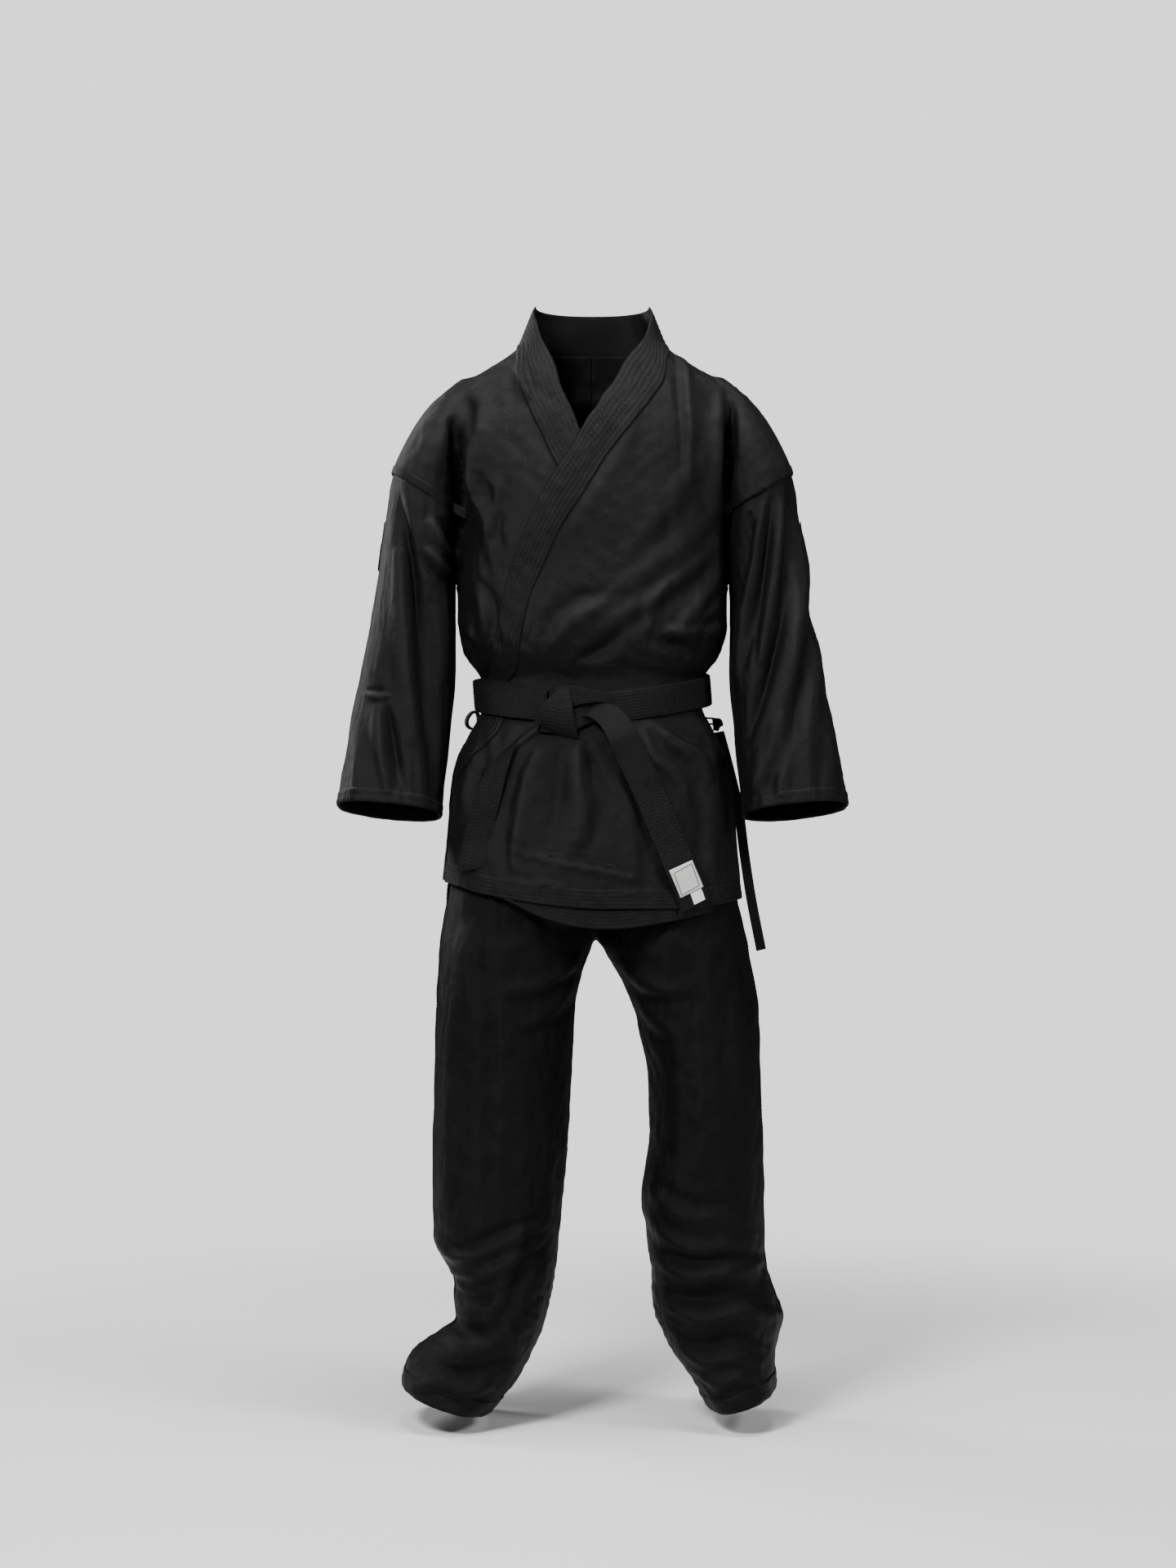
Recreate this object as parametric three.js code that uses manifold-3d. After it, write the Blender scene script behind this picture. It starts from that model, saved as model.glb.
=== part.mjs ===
// A karate uniform as it hangs on its wearer, with nobody inside: a wrap jacket, straight
// trousers and a tied belt. Heights below are measured from the floor under the wearer's feet;
// the finished group is lowered so that the base of the neck is the origin.
// +X is the wearer's left, -Y is the front, +Z is up. Millimetres.
import * as THREE from "three";
import { mergeVertices } from "three/addons/utils/BufferGeometryUtils.js";
import Module from "manifold-3d";

const wasm = await Module();
wasm.setup();

// Driving dimensions
const NECK_BASE = 1455; // height of the origin
const CLOTH = 2; // a seamed, doubled cotton drill
const GAP = 0.6; // between pieces sewn edge to edge
const BAND = 3.2; // lapel and collar band, several layers stitched
const WRAP = CLOTH + 1.9; // how far the left front lies outside the right front
const BELT = 3; // thickness of one layer of belt
const BELT_WIDTH = 42;
const BELT_LIFT = WRAP + 2.4; // inner face of the belt's first turn, over the lapel
const ROUND = 2.4; // squareness of the body's sections: 2 is an ellipse
const BODY_SIDES = 22;
const ARM_SIDES = 14;
const LEG_SIDES = 14;
const CLOTH_COLOUR = 0x24242a;
const BELT_COLOUR = 0x2c2c2e;

// Body of the jacket up to the standing collar: height, half width, half depth
const JACKET = [
  [650, 207, 142], [860, 190, 131], [940, 172, 122], [958, 151, 106], [1040, 151, 106],
  [1062, 170, 117], [1087, 182, 124], [1230, 184, 124], [1270, 192, 122], [1320, 214, 116],
  [1373, 223, 106], [1418, 205, 94], [1452, 145, 84], [1480, 101, 76], [1545, 75, 60],
];
// Upper arm and sleeve: height, centre x, centre y, half width, half depth
const SLEEVE = [
  [1412, 190, 0, 28, 55], [1373, 203, 0, 41, 74], [1340, 214, 0, 48, 80], [1307, 229, 0, 48, 84],
  [1232, 238, 0, 48, 86], [1130, 246, -2, 54, 84], [1000, 258, -15, 67, 78], [900, 271, -35, 72, 70],
  [780, 285, -58, 72, 64],
];
// Seat of the trousers: height, half width, half depth
const SEAT = [
  [668, 194, 96], [690, 193, 114], [800, 178, 116], [900, 162, 112], [950, 138, 96], [1012, 136, 94],
];
// Trouser legs: height, centre x, centre y, half width, half depth
const LEFT_LEG = [
  [760, 92, 2, 84, 108], [690, 103, 2, 92, 110], [660, 117, 0, 96, 112], [576, 143, 0, 86, 108],
  [486, 154, 0, 77, 104], [384, 157, 0, 78, 98], [316, 151, 0, 85, 94], [210, 160, 2, 78, 92],
  [150, 176, 2, 90, 93], [102, 180, 0, 72, 98], [57, 196, -2, 56, 106], [5, 212, -4, 42, 110],
];
const RIGHT_LEG = [
  [760, -92, 2, 84, 108], [690, -99, 2, 92, 110], [660, -111, 0, 97, 112], [576, -120, 0, 95, 108],
  [384, -127, 0, 93, 98], [249, -132, 0, 85, 92], [203, -121, 2, 69, 92], [135, -127, 2, 60, 94],
  [98, -168, 0, 85, 99], [57, -184, -2, 79, 104], [5, -205, -4, 52, 108],
];
const BODY_Y = 5; // the body's axis lies a little behind the arms
const NECK_SEAM = 1477;
const COLLAR_TOP = 1536;
const ARMHOLE = { x: 277, h: 1307, down: [89, 57] }; // outer end of the seam, and its slope
const SLEEVE_HEAD = 70; // soft length between the armhole and the stiff part of the sleeve
const CUFF = { x: 278, y: -46, h: 843, hem: 20 };
const SIDE_VENT = 930; // the side seams open below this
const SIDE_PANEL = [80, 100]; // degrees round the body
const THIGH = { top: 659, bottom: 615 }; // soft length at the top of each leg
const LEG_HEM = 25;

// Round the body, 0 degrees is the centre front and 90 the wearer's left side
const power = (v, e) => Math.sign(v) * Math.abs(v) ** e;
const radians = THREE.MathUtils.degToRad;

function between(rows, h) {
  const sorted = rows[0][0] < rows.at(-1)[0] ? rows : [...rows].reverse();
  const above = Math.min(Math.max(sorted.findIndex((r) => r[0] >= h), 1), sorted.length - 1);
  const [low, high] = [sorted[above - 1], sorted[above]];
  const share = (h - low[0]) / (high[0] - low[0]);
  return low.map((v, i) => v + (high[i] - v) * share);
}

function bodyPoint([h, wide, deep], turn, grow = 0) {
  const x = (wide + grow) * power(Math.sin(radians(turn)), 2 / ROUND);
  const y = BODY_Y - (deep + grow) * power(Math.cos(radians(turn)), 2 / ROUND);
  return new THREE.Vector3(x, y, h);
}
const onJacket = (turn, h, grow) => bodyPoint(between(JACKET, h), turn, grow);

function turnAt(x, h) {
  const share = Math.abs(x) / between(JACKET, h)[1];
  return THREE.MathUtils.radToDeg(Math.asin(share ** (ROUND / 2))) * Math.sign(x);
}

// Stacked loops of points, closed at both ends by a fan about the loop's middle
function loft(loops) {
  const n = loops[0].length;
  const middle = (loop) => loop.reduce((sum, p) => sum.add(p), new THREE.Vector3()).divideScalar(n);
  const points = [...loops.flat(), middle(loops[0]), middle(loops.at(-1))];
  const last = (loops.length - 1) * n;
  const faces = [];
  for (let i = 0; i < n; i++) {
    const j = (i + 1) % n;
    for (let k = 0; k < last; k += n) {
      const [a, b, c, d] = [k + i, k + j, k + n + j, k + n + i];
      faces.push(...(j ? [a, b, c, a, c, d] : [a, b, d, b, c, d])); // alike either side of corner 0
    }
    faces.push(loops.length * n, j, i, loops.length * n + 1, last + i, last + j);
  }
  const volume = faces.reduce((sum, _, i) => {
    if (i % 3) return sum;
    const [a, b, c] = [points[faces[i]], points[faces[i + 1]], points[faces[i + 2]]];
    return sum + a.dot(new THREE.Vector3().crossVectors(b, c));
  }, 0);
  if (volume < 0) faces.reverse();
  const geometry = new THREE.BufferGeometry().setFromPoints(points);
  return geometry.setIndex(faces);
}

function solid(geometry) {
  geometry.deleteAttribute("normal");
  geometry.deleteAttribute("uv");
  const merged = mergeVertices(geometry, 1e-4);
  const vertProperties = new Float32Array(merged.attributes.position.array);
  const triVerts = new Uint32Array(merged.index.array);
  return new wasm.Manifold(new wasm.Mesh({ numProp: 3, vertProperties, triVerts }));
}

function surface(body) {
  const mesh = body.getMesh();
  const geometry = new THREE.BufferGeometry();
  geometry.setAttribute("position", new THREE.BufferAttribute(mesh.vertProperties, 3));
  return geometry.setIndex(new THREE.BufferAttribute(mesh.triVerts, 1));
}

// Everything between two distances along a direction from a point
function slab(point, direction, from, to) {
  const box = new THREE.BoxGeometry(4000, 4000, to - from).translate(0, 0, (from + to) / 2);
  const turn = new THREE.Quaternion().setFromUnitVectors(new THREE.Vector3(0, 0, 1), direction);
  return solid(box.applyQuaternion(turn).translate(point.x, point.y, point.z));
}
const UP = new THREE.Vector3(0, 0, 1);
const level = (from, to) => slab(new THREE.Vector3(), UP, from, to);

// Everything between two directions round the body; rows are height, first turn, last turn
function wedge(rows) {
  return solid(loft(rows.map(([h, first, last]) => {
    const axis = new THREE.Vector3(0, BODY_Y, h);
    const rim = [0, 1, 2, 3, 4].map((i) => {
      const turn = first + ((last - first) * i) / 4;
      const reach = 1.15 + 0.75 * Math.sin(radians(turn)) ** 4; // out past the arms at the sides
      return onJacket(turn, h, 0).sub(axis).multiplyScalar(reach).add(axis);
    });
    return [axis, ...rim];
  })));
}

// Body, arms and legs as plain solids, each grown outwards by the given amount
function bodyForm(rows, grow, sides) {
  const roof = (h) => h + (h > 1330 ? 0.8 * grow : 0);
  return solid(loft(rows.map(([h, wide, deep]) => Array.from({ length: sides }, (_, i) =>
    bodyPoint([roof(h), wide, deep], (360 * i) / sides, grow)))));
}

function limbForm(rows, grow, sides, flip = 1) {
  const square = 2.2;
  return solid(loft(rows.map(([h, x, y, wide, deep]) => Array.from({ length: sides }, (_, i) => {
    const angle = (2 * Math.PI * i) / sides;
    const across = flip * (x + (wide + grow) * power(Math.cos(angle), 2 / square));
    return new THREE.Vector3(across, y + (deep + grow) * power(Math.sin(angle), 2 / square), h);
  }))));
}

function strip(stations) {
  return loft(stations.map(([inner, outer]) => [...inner, ...[...outer].reverse()]));
}

const uniform = new THREE.Group();
function piece(name, geometry, color = CLOTH_COLOUR, roughness = 0.85) {
  const material = new THREE.MeshStandardMaterial({ color, roughness, metalness: 0 });
  const mesh = new THREE.Mesh(geometry, material);
  mesh.name = name;
  uniform.add(mesh);
}

// The armhole is a flat ring: the jacket's body lies above it and the sleeve below
const armholeSlope = new THREE.Vector2(...ARMHOLE.down).normalize();
function beyondArmhole(flip, from, to) {
  const point = new THREE.Vector3(flip * ARMHOLE.x, 0, ARMHOLE.h);
  return slab(point, new THREE.Vector3(flip * armholeSlope.y, 0, -armholeSlope.x), from, to);
}

function jacketForm(grow, past) {
  let form = bodyForm(JACKET, grow, BODY_SIDES);
  for (const flip of [1, -1]) {
    const shoulder = limbForm(SLEEVE, grow, ARM_SIDES, flip).intersect(beyondArmhole(flip, -700, past));
    form = form.add(shoulder);
  }
  return form;
}
const jacketShell = (grow, thick) => jacketForm(grow, 0).subtract(jacketForm(grow - thick, 8));

// Lapel edges from the collar to the waist, as x and height on the jacket's front
const LEFT_LAPEL = {
  free: [[45, 1466], [-18, 1371], [-47, 1323], [-90, 1244], [-118, 1177], [-134, 1106], [-141, 1050]],
  seam: [[83, 1434], [22, 1348], [-8, 1300], [-50, 1225], [-75, 1163], [-97, 1098], [-107, 1046]],
};
// Below the waist it turns round the wearer's right side, in heights and degrees
const LEFT_LAPEL_SKIRT = {
  free: [[1036, -70], [962, -70], [940, -72], [900, -86], [850, -100], [640, -108]],
  seam: [[1036, -46], [962, -44], [942, -46], [908, -60], [855, -76], [640, -88]],
};
const RIGHT_LAPEL = {
  free: [[-46, 1440], [-18, 1371], [6, 1318], [45, 1240], [78, 1150], [98, 1080], [106, 1040],
    [106, 960], [122, 915], [145, 850], [160, 640]],
  seam: [[-87, 1423], [-60, 1354], [-38, 1298], [3, 1220], [38, 1138], [57, 1072], [65, 1038],
    [65, 958], [80, 912], [104, 844], [120, 640]],
};
const COLLAR_FREE = [[COLLAR_TOP + 9, 87], [1509, 62]]; // heights and degrees where it stands up
const COLLAR_SEAM = [[COLLAR_TOP + 9, 88], [1479, 87], [1458, 58]];

const inTurns = (edge) => edge.map(([x, h]) => [h, turnAt(x, h)]);
const mirrored = (edge) => edge.map(([h, turn]) => [h, -turn]);
const leftEdge = (name, collar) => [...collar, ...inTurns(LEFT_LAPEL[name]), ...LEFT_LAPEL_SKIRT[name]];
const rightEdge = (name, collar) => [...mirrored(collar), ...inTurns(RIGHT_LAPEL[name])];

// Rows of a wedge between two edges, with a row wherever a shared edge or the body bends
function rowsBetween(first, last, shared = []) {
  const neck = [[1466], [1473]];
  const heights = [...new Set([...first, ...last, ...shared, ...JACKET, ...neck].map(([h]) => h))];
  heights.sort((a, b) => a - b);
  return heights.filter((h) => h >= 640 && h <= 1545)
    .map((h) => [h, between(first, h)[1], between(last, h)[1]]);
}
const moved = (edge, clear) =>
  edge.map(([h, turn]) => [h, turn + THREE.MathUtils.radToDeg(clear / between(JACKET, h)[1])]);

function makeJacket() {
  const left = { free: leftEdge("free", COLLAR_FREE), seam: leftEdge("seam", COLLAR_SEAM) };
  const right = { free: rightEdge("free", COLLAR_FREE), seam: rightEdge("seam", COLLAR_SEAM) };
  const half = 0.25; // degrees either side of a seam
  const sideEdge = (side, split) => {
    const panel = 90 + split * (90 - SIDE_PANEL[0]);
    const seam = 90 + split * half;
    return [[640, seam], [SIDE_VENT - 0.5, seam], [SIDE_VENT + 0.5, panel], [1244.5, panel],
      [1245.5, seam], [1545, seam]].map(([h, turn]) => [h, side * turn]);
  };
  const cut = (shell, rows, ...limits) =>
    surface(limits.reduce((kept, limit) => kept.intersect(limit), shell.intersect(wedge(rows))));
  // the left front's hem rises towards the wearer's right
  const leftHem = slab(new THREE.Vector3(0, 0, 729), new THREE.Vector3(0.055, 0, 1).normalize(), 0, 900);
  const collared = level(688, COLLAR_TOP);
  const belowNeck = level(640, NECK_SEAM);

  const base = jacketShell(0, CLOTH);
  const outer = jacketShell(WRAP, CLOTH);
  const overLapel = jacketShell(WRAP - CLOTH + BAND, BAND);
  const underLapel = jacketShell(BAND - CLOTH, BAND);
  const leftRows = rowsBetween(moved(left.seam, 1), sideEdge(1, -1), left.free);
  piece("front_left_panel", cut(outer, leftRows, leftHem, belowNeck));
  const lapelRows = rowsBetween(left.free, left.seam, sideEdge(1, -1));
  piece("left_lapel", cut(overLapel, lapelRows, leftHem, collared));
  const rightRows = rowsBetween(sideEdge(-1, -1), moved(right.seam, -1), right.free);
  piece("front_right_panel", cut(base, rightRows, level(688, NECK_SEAM)));
  piece("right_lapel", cut(underLapel, rowsBetween(right.seam, right.free, sideEdge(-1, -1)), collared));
  const back = [[NECK_SEAM, 88.5, 271.5], [1545, 88.5, 271.5]];
  piece("neck_band", cut(underLapel, back, level(NECK_SEAM + GAP, COLLAR_TOP)));
  for (const [side, name] of [[1, "left"], [-1, "right"]]) {
    const centre = [[640, side * (180 - half)], [1545, side * (180 - half)]];
    piece(`back_${name}_panel`, cut(base, rowsBetween(sideEdge(side, 1), centre), level(706, NECK_SEAM)));
    const [first, last] = SIDE_PANEL.map((turn) => side * turn);
    const gusset = [640, 1300].map((h) => [h, first + side * 0.5, last - side * 0.5]);
    piece(`${name}_side_panel`, cut(base, gusset, level(SIDE_VENT + 1, 1244)));
  }
}

function makeSleeve(flip, name) {
  const tube = limbForm(SLEEVE, 0, ARM_SIDES, flip).subtract(limbForm(SLEEVE, -CLOTH, ARM_SIDES, flip));
  const clear = tube.subtract(bodyForm(JACKET, WRAP + GAP, BODY_SIDES));
  const along = new THREE.Vector3(flip * 0.1, -0.19, -0.975).normalize();
  const cuff = new THREE.Vector3(flip * CUFF.x, CUFF.y, CUFF.h);
  const part = (from, to, cuffFrom, cuffTo) => surface(clear
    .intersect(beyondArmhole(flip, from, to)).intersect(slab(cuff, along, cuffFrom, cuffTo)));
  piece(`${name}_sleeve_head`, part(GAP, SLEEVE_HEAD, -700, 0));
  piece(`${name}_sleeve`, part(SLEEVE_HEAD + GAP, 700, -700, -CUFF.hem - GAP));
  piece(`${name}_cuff_hem`, part(SLEEVE_HEAD + GAP, 700, -CUFF.hem, 0));
}

function trouserForm(grow) {
  const inset = grow < 0 ? [[SEAT[0][0] - grow, ...SEAT[0].slice(1)], ...SEAT.slice(1, -1),
    [SEAT.at(-1)[0] + 8, ...SEAT.at(-1).slice(1)]] : SEAT;
  return [LEFT_LEG, RIGHT_LEG].reduce((form, rows) => form.add(limbForm(rows, grow, LEG_SIDES)),
    bodyForm(inset, grow, LEG_SIDES));
}

function makeTrousers() {
  const waist = 984;
  const shell = trouserForm(0).subtract(trouserForm(-CLOTH));
  const diamond = new THREE.BoxGeometry(92, 92, 60).rotateZ(Math.PI / 4).translate(6, 0, 672);
  const gap = new THREE.BoxGeometry(94, 94, 62).rotateZ(Math.PI / 4).translate(6, 0, 672);
  const rise = shell.intersect(level(THIGH.top + GAP, waist)).subtract(solid(gap));
  const FRONT = new THREE.Vector3(0, -1, 0);
  const half = (from, to) => slab(new THREE.Vector3(), FRONT, from, to);
  piece("trouser_front_rise", surface(rise.intersect(half(GAP / 2, 400))));
  piece("trouser_back_rise", surface(rise.intersect(half(-400, -GAP / 2))));
  piece("crotch_gusset", surface(shell.intersect(level(THIGH.top + GAP, 900)).intersect(solid(diamond))));
  const ring = (low, high, from, to) => bodyForm(SEAT.slice(-2), high, LEG_SIDES)
    .subtract(bodyForm([[945, ...SEAT.at(-2).slice(1)], [1020, ...SEAT.at(-1).slice(1)]], low, LEG_SIDES))
    .intersect(level(from, to));
  piece("waistband", surface(ring(-CLOTH, 1, waist + GAP, 1012)));
  piece("waist_elastic", surface(ring(-5, -CLOTH - GAP, waist + 6, 1008)));

  for (const [rows, name, side] of [[LEFT_LEG, "left", 1], [RIGHT_LEG, "right", -1]]) {
    const tube = limbForm(rows, 0, LEG_SIDES).subtract(limbForm(rows, -CLOTH, LEG_SIDES));
    // the hem rises towards the outside, over the instep
    const lean = new THREE.Vector3(-side * 0.3, 0, 1).normalize();
    const foot = new THREE.Vector3(side * 210, 0, 38);
    const above = (from, to) => slab(foot, lean, from, to);
    const leg = tube.intersect(level(0, THIGH.bottom)).intersect(above(LEG_HEM + GAP, 900));
    piece(`${name}_thigh_fold`, surface(tube.intersect(level(THIGH.bottom + GAP, THIGH.top))));
    piece(`${name}_leg_front`, surface(leg.intersect(half(GAP / 2, 400))));
    piece(`${name}_leg_back`, surface(leg.intersect(half(-400, -GAP / 2))));
    piece(`${name}_leg_hem`, surface(tube.intersect(above(0, LEG_HEM))));
  }
}

// Belt: two turns round the waist, a flat knot in front, and two hanging ends
const beltHeight = (turn) => 984 + 31 * Math.abs(Math.sin(radians(turn / 2)));

function beltTurn(low, high) {
  const sides = 32;
  const ring = (grow) => {
    const loops = [-0.5, 0.5].map((end) => Array.from({ length: sides }, (_, i) => {
      const turn = (360 * i) / sides;
      return onJacket(turn, 1000, grow).setZ(beltHeight(turn) + end * BELT_WIDTH);
    }));
    return loops;
  };
  const past = [-5, 5].map((lift) => UP.clone().multiplyScalar(lift));
  const inner = ring(low).map((loop, i) => loop.map((p) => p.clone().add(past[i])));
  return surface(solid(loft(ring(high))).subtract(solid(loft(inner))));
}

// A flat strap: stations are x, height, how far off the jacket, and half its width
function strap(stations, thickness) {
  const path = stations.map(([x, h]) => new THREE.Vector2(x, h));
  return strip(stations.map(([x, h, off, half], i) => {
    const along = path[Math.min(i + 1, path.length - 1)].clone().sub(path[Math.max(i - 1, 0)]);
    const side = new THREE.Vector2(-along.y, along.x).normalize().multiplyScalar(half);
    const edge = (s, grow) => {
      const [ex, eh] = [x + s * side.x, h + s * side.y];
      return onJacket(turnAt(ex, eh), eh, grow);
    };
    return [off, off + thickness].map((grow) => [-1, 0, 1].map((s) => edge(s, grow)));
  }));
}

const LEFT_END = [
  [37, 983, 25, 19], [43, 962, 26, 21], [56, 915, 11, 21], [88, 836, 7, 21], [119, 768, 7, 21], [137, 716, 7, 21],
];
const RIGHT_END = [[-66, 950, 22, 8], [-88, 930, 12, 14], [-118, 900, 9, 19], [-140, 858, 9, 21],
  [-152, 810, 9, 21], [-165, 762, 9, 21]];

function makeBelt() {
  piece("belt_inner_turn", beltTurn(BELT_LIFT, BELT_LIFT + BELT), BELT_COLOUR);
  piece("belt_outer_turn", beltTurn(BELT_LIFT + BELT + 0.4, BELT_LIFT + 2 * BELT + 0.4), BELT_COLOUR);
  piece("belt_left_end", strap(LEFT_END, BELT + 1), BELT_COLOUR);
  piece("belt_right_end", strap(RIGHT_END, BELT + 1), BELT_COLOUR);

  const front = BODY_Y - 106 - BELT_LIFT - 2 * BELT - 1; // just clear of the outer turn
  const knot = new THREE.Vector3(-28, front, 981);
  const outline = new THREE.Shape([[-42, 4], [-20, -32], [14, -26], [44, -8], [48, 14], [8, 24], [-14, 30]]
    .map(([x, z]) => new THREE.Vector2(x, z)));
  const core = new THREE.ExtrudeGeometry(outline, { depth: 9, bevelEnabled: false });
  core.rotateX(Math.PI / 2).translate(knot.x, knot.y, knot.z);
  piece("belt_knot_core", surface(solid(core)), BELT_COLOUR);
  const loopShape = new THREE.Shape([[-22, -8], [-4, -30], [12, -12], [17, 27], [-2, 34], [-26, 10]]
    .map(([x, z]) => new THREE.Vector2(x, z)));
  const bevel = { depth: 3, bevelThickness: 3, bevelSize: 3, bevelOffset: -3, bevelSegments: 2 };
  const loop = new THREE.ExtrudeGeometry(loopShape, bevel);
  loop.rotateX(Math.PI / 2).translate(knot.x, knot.y - 9 - 3.5, knot.z);
  piece("belt_knot_loop", surface(solid(loop)), BELT_COLOUR);

  const onTop = 7 + BELT + 1 + 1.2; // just clear of the strap's face
  const plate = (rows, thickness) => strap(rows.map(([x, h, half]) => [x, h, onTop, half]), thickness);
  piece("belt_label", plate([[116, 775, 18], [131, 736, 18]], 0.8), 0xe8e6e0, 0.7);
  piece("belt_size_tag", plate([[133, 731, 9], [135, 723, 9], [137, 714, 9]], 0.8), 0xf0f0ee, 0.7);
}

// Tapes sewn to the jacket: hand-laid points, a thin flat section swept along them
function tape(points, across, width, thickness) {
  const curve = new THREE.CatmullRomCurve3(points.map((p) => new THREE.Vector3(...p)));
  const steps = 4 * (points.length - 1);
  const side = new THREE.Vector3(...across).normalize();
  return strip(Array.from({ length: steps + 1 }, (_, i) => {
    const at = curve.getPoint(i / steps);
    const out = new THREE.Vector3().crossVectors(curve.getTangent(i / steps), side).normalize();
    return [-0.5, 0.5].map((t) => [-0.5, 0.5].map((s) => at.clone()
      .addScaledVector(side, s * width).addScaledVector(out, t * thickness)));
  }));
}

const SIDE_TIE = [
  [177, 42, 953], [190, 44, 905], [204, 45, 845], [212, 46, 785], [222, 47, 720], [236, 48, 648],
];

function makeTies() {
  piece("left_side_tie_tail", tape(SIDE_TIE, [0.8, 0.6, 0.15], 18, 1.4));
  const knot = new THREE.IcosahedronGeometry(10, 1).scale(0.9, 1.1, 0.8).translate(174, 40, 966);
  piece("left_side_tie_knot", surface(solid(knot)));
  const loop = new THREE.Shape().absellipse(0, 0, 20, 12, 0, 2 * Math.PI);
  loop.holes.push(new THREE.Path().absellipse(0, 0, 17.5, 9.5, 0, 2 * Math.PI));
  const bow = new THREE.ExtrudeGeometry(loop, { depth: 9, bevelEnabled: false, curveSegments: 10 });
  bow.rotateX(Math.PI / 2).rotateZ(Math.PI / 2).translate(-172, 28, 970);
  piece("right_side_tie_loop", surface(solid(bow)));
  const inside = [52, 62, 72, 82].map((turn) => [-6.5, -5].map((grow) =>
    [-6, 6].map((rise) => onJacket(turn, 1100, grow).setZ(1100 + rise))));
  piece("inner_tie", strip(inside));
  const patch = [-98, -94, -90, -86].map((turn) => [WRAP + 1.8, WRAP + 2.6].map((grow) =>
    [778, 858].map((h) => onJacket(turn, h, grow))));
  piece("side_patch", strip(patch), 0xd8d8d4, 0.75);
}

makeJacket();
makeSleeve(1, "left");
makeSleeve(-1, "right");
makeTrousers();
makeBelt();
makeTies();
uniform.position.z = -NECK_BASE;

export default uniform;
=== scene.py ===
"""A black cotton martial arts uniform, worn shape: wrapped jacket, tied belt and trousers."""
import math

import bmesh
import bpy
import numpy as np
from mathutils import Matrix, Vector
from mathutils.bvhtree import BVHTree


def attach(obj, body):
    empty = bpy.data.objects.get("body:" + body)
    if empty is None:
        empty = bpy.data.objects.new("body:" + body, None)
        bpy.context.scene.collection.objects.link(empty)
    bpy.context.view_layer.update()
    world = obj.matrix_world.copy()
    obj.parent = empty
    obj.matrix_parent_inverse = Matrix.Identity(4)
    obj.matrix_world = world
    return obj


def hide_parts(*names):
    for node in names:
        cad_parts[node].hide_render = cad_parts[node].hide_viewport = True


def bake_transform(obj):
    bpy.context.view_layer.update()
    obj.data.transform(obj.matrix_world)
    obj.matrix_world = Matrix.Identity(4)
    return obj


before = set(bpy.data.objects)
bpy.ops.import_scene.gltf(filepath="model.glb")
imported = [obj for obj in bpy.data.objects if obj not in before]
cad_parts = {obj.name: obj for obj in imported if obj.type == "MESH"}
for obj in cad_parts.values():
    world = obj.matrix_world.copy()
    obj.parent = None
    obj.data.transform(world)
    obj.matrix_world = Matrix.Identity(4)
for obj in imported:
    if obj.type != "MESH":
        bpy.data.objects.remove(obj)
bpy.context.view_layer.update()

# ---------------------------------------------------------------- camera
# Level with the wearer's hips and far off, so the uniform keeps its true proportions.
camera_data = bpy.data.cameras.new("camera")
camera_data.sensor_fit = "VERTICAL"
camera_data.sensor_width = camera_data.sensor_height = 36
camera_data.lens = 69.8
camera = bpy.data.objects.new("camera", camera_data)
bpy.context.collection.objects.link(camera)
camera.location = (-0.006, -4.2, -0.575)
camera.rotation_euler = (math.radians(90), 0, 0)
bpy.context.scene.camera = camera

# ---------------------------------------------------------------- cloth finishes
# Black drill: a steep twill of fine ridges, its raised yarns tinted lighter as painted highlight, faint lint, rubbed
# colour on the fold crests, and painted shade in the fold valleys and stitch grooves.
NECK_BASE = 1.455  # the wearer's neck above the floor, where the frame has its origin


def node(tree, kind, inputs=(), **settings):
    made = tree.nodes.new(kind)
    for name, value in settings.items():
        setattr(made, name, value)
    for name, value in dict(inputs).items():
        if isinstance(value, bpy.types.NodeSocket):
            tree.links.new(value, made.inputs[name])
        else:
            made.inputs[name].default_value = value
    return made


def new_group(name, inputs, outputs):
    group = bpy.data.node_groups.new(name, "ShaderNodeTree")
    for socket, value in inputs.items():
        group.interface.new_socket(socket, in_out="INPUT", socket_type="NodeSocketFloat").default_value = value
    for socket in outputs:
        group.interface.new_socket(socket, in_out="OUTPUT", socket_type="NodeSocketFloat")
    return group, group.nodes.new("NodeGroupInput").outputs, group.nodes.new("NodeGroupOutput").inputs


def twill_group():
    """Diagonal yarn ridges crossed by the finer weft, with slubs where a yarn runs thick."""
    group, given, out = new_group("twill_weave", {"Pitch": 1100.0, "Slub": 0.35}, ["Height", "Slubs"])
    place = node(group, "ShaderNodeTexCoord").outputs["Object"]
    lean = node(group, "ShaderNodeMapping", {"Vector": place, "Rotation": (0.5, 0.9, 0.4)}).outputs["Vector"]
    warp = node(group, "ShaderNodeTexWave", {"Vector": lean, "Scale": given["Pitch"], "Distortion": 2.2,
                                             "Detail": 1.0, "Detail Scale": 2.0}, bands_direction="X")
    weft = node(group, "ShaderNodeTexWave", {"Vector": lean, "Scale": given["Pitch"], "Distortion": 1.2},
                bands_direction="Z")
    slubs = node(group, "ShaderNodeTexNoise", {"Vector": lean, "Scale": 420.0, "Detail": 3.0})
    mixed = node(group, "ShaderNodeMix", {"Factor": 0.35, "A": warp.outputs["Fac"], "B": weft.outputs["Fac"]})
    rough = node(group, "ShaderNodeMix", {"Factor": given["Slub"], "A": mixed.outputs["Result"],
                                          "B": slubs.outputs["Fac"]})
    group.links.new(rough.outputs["Result"], out["Height"])
    group.links.new(slubs.outputs["Fac"], out["Slubs"])
    return group


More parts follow.
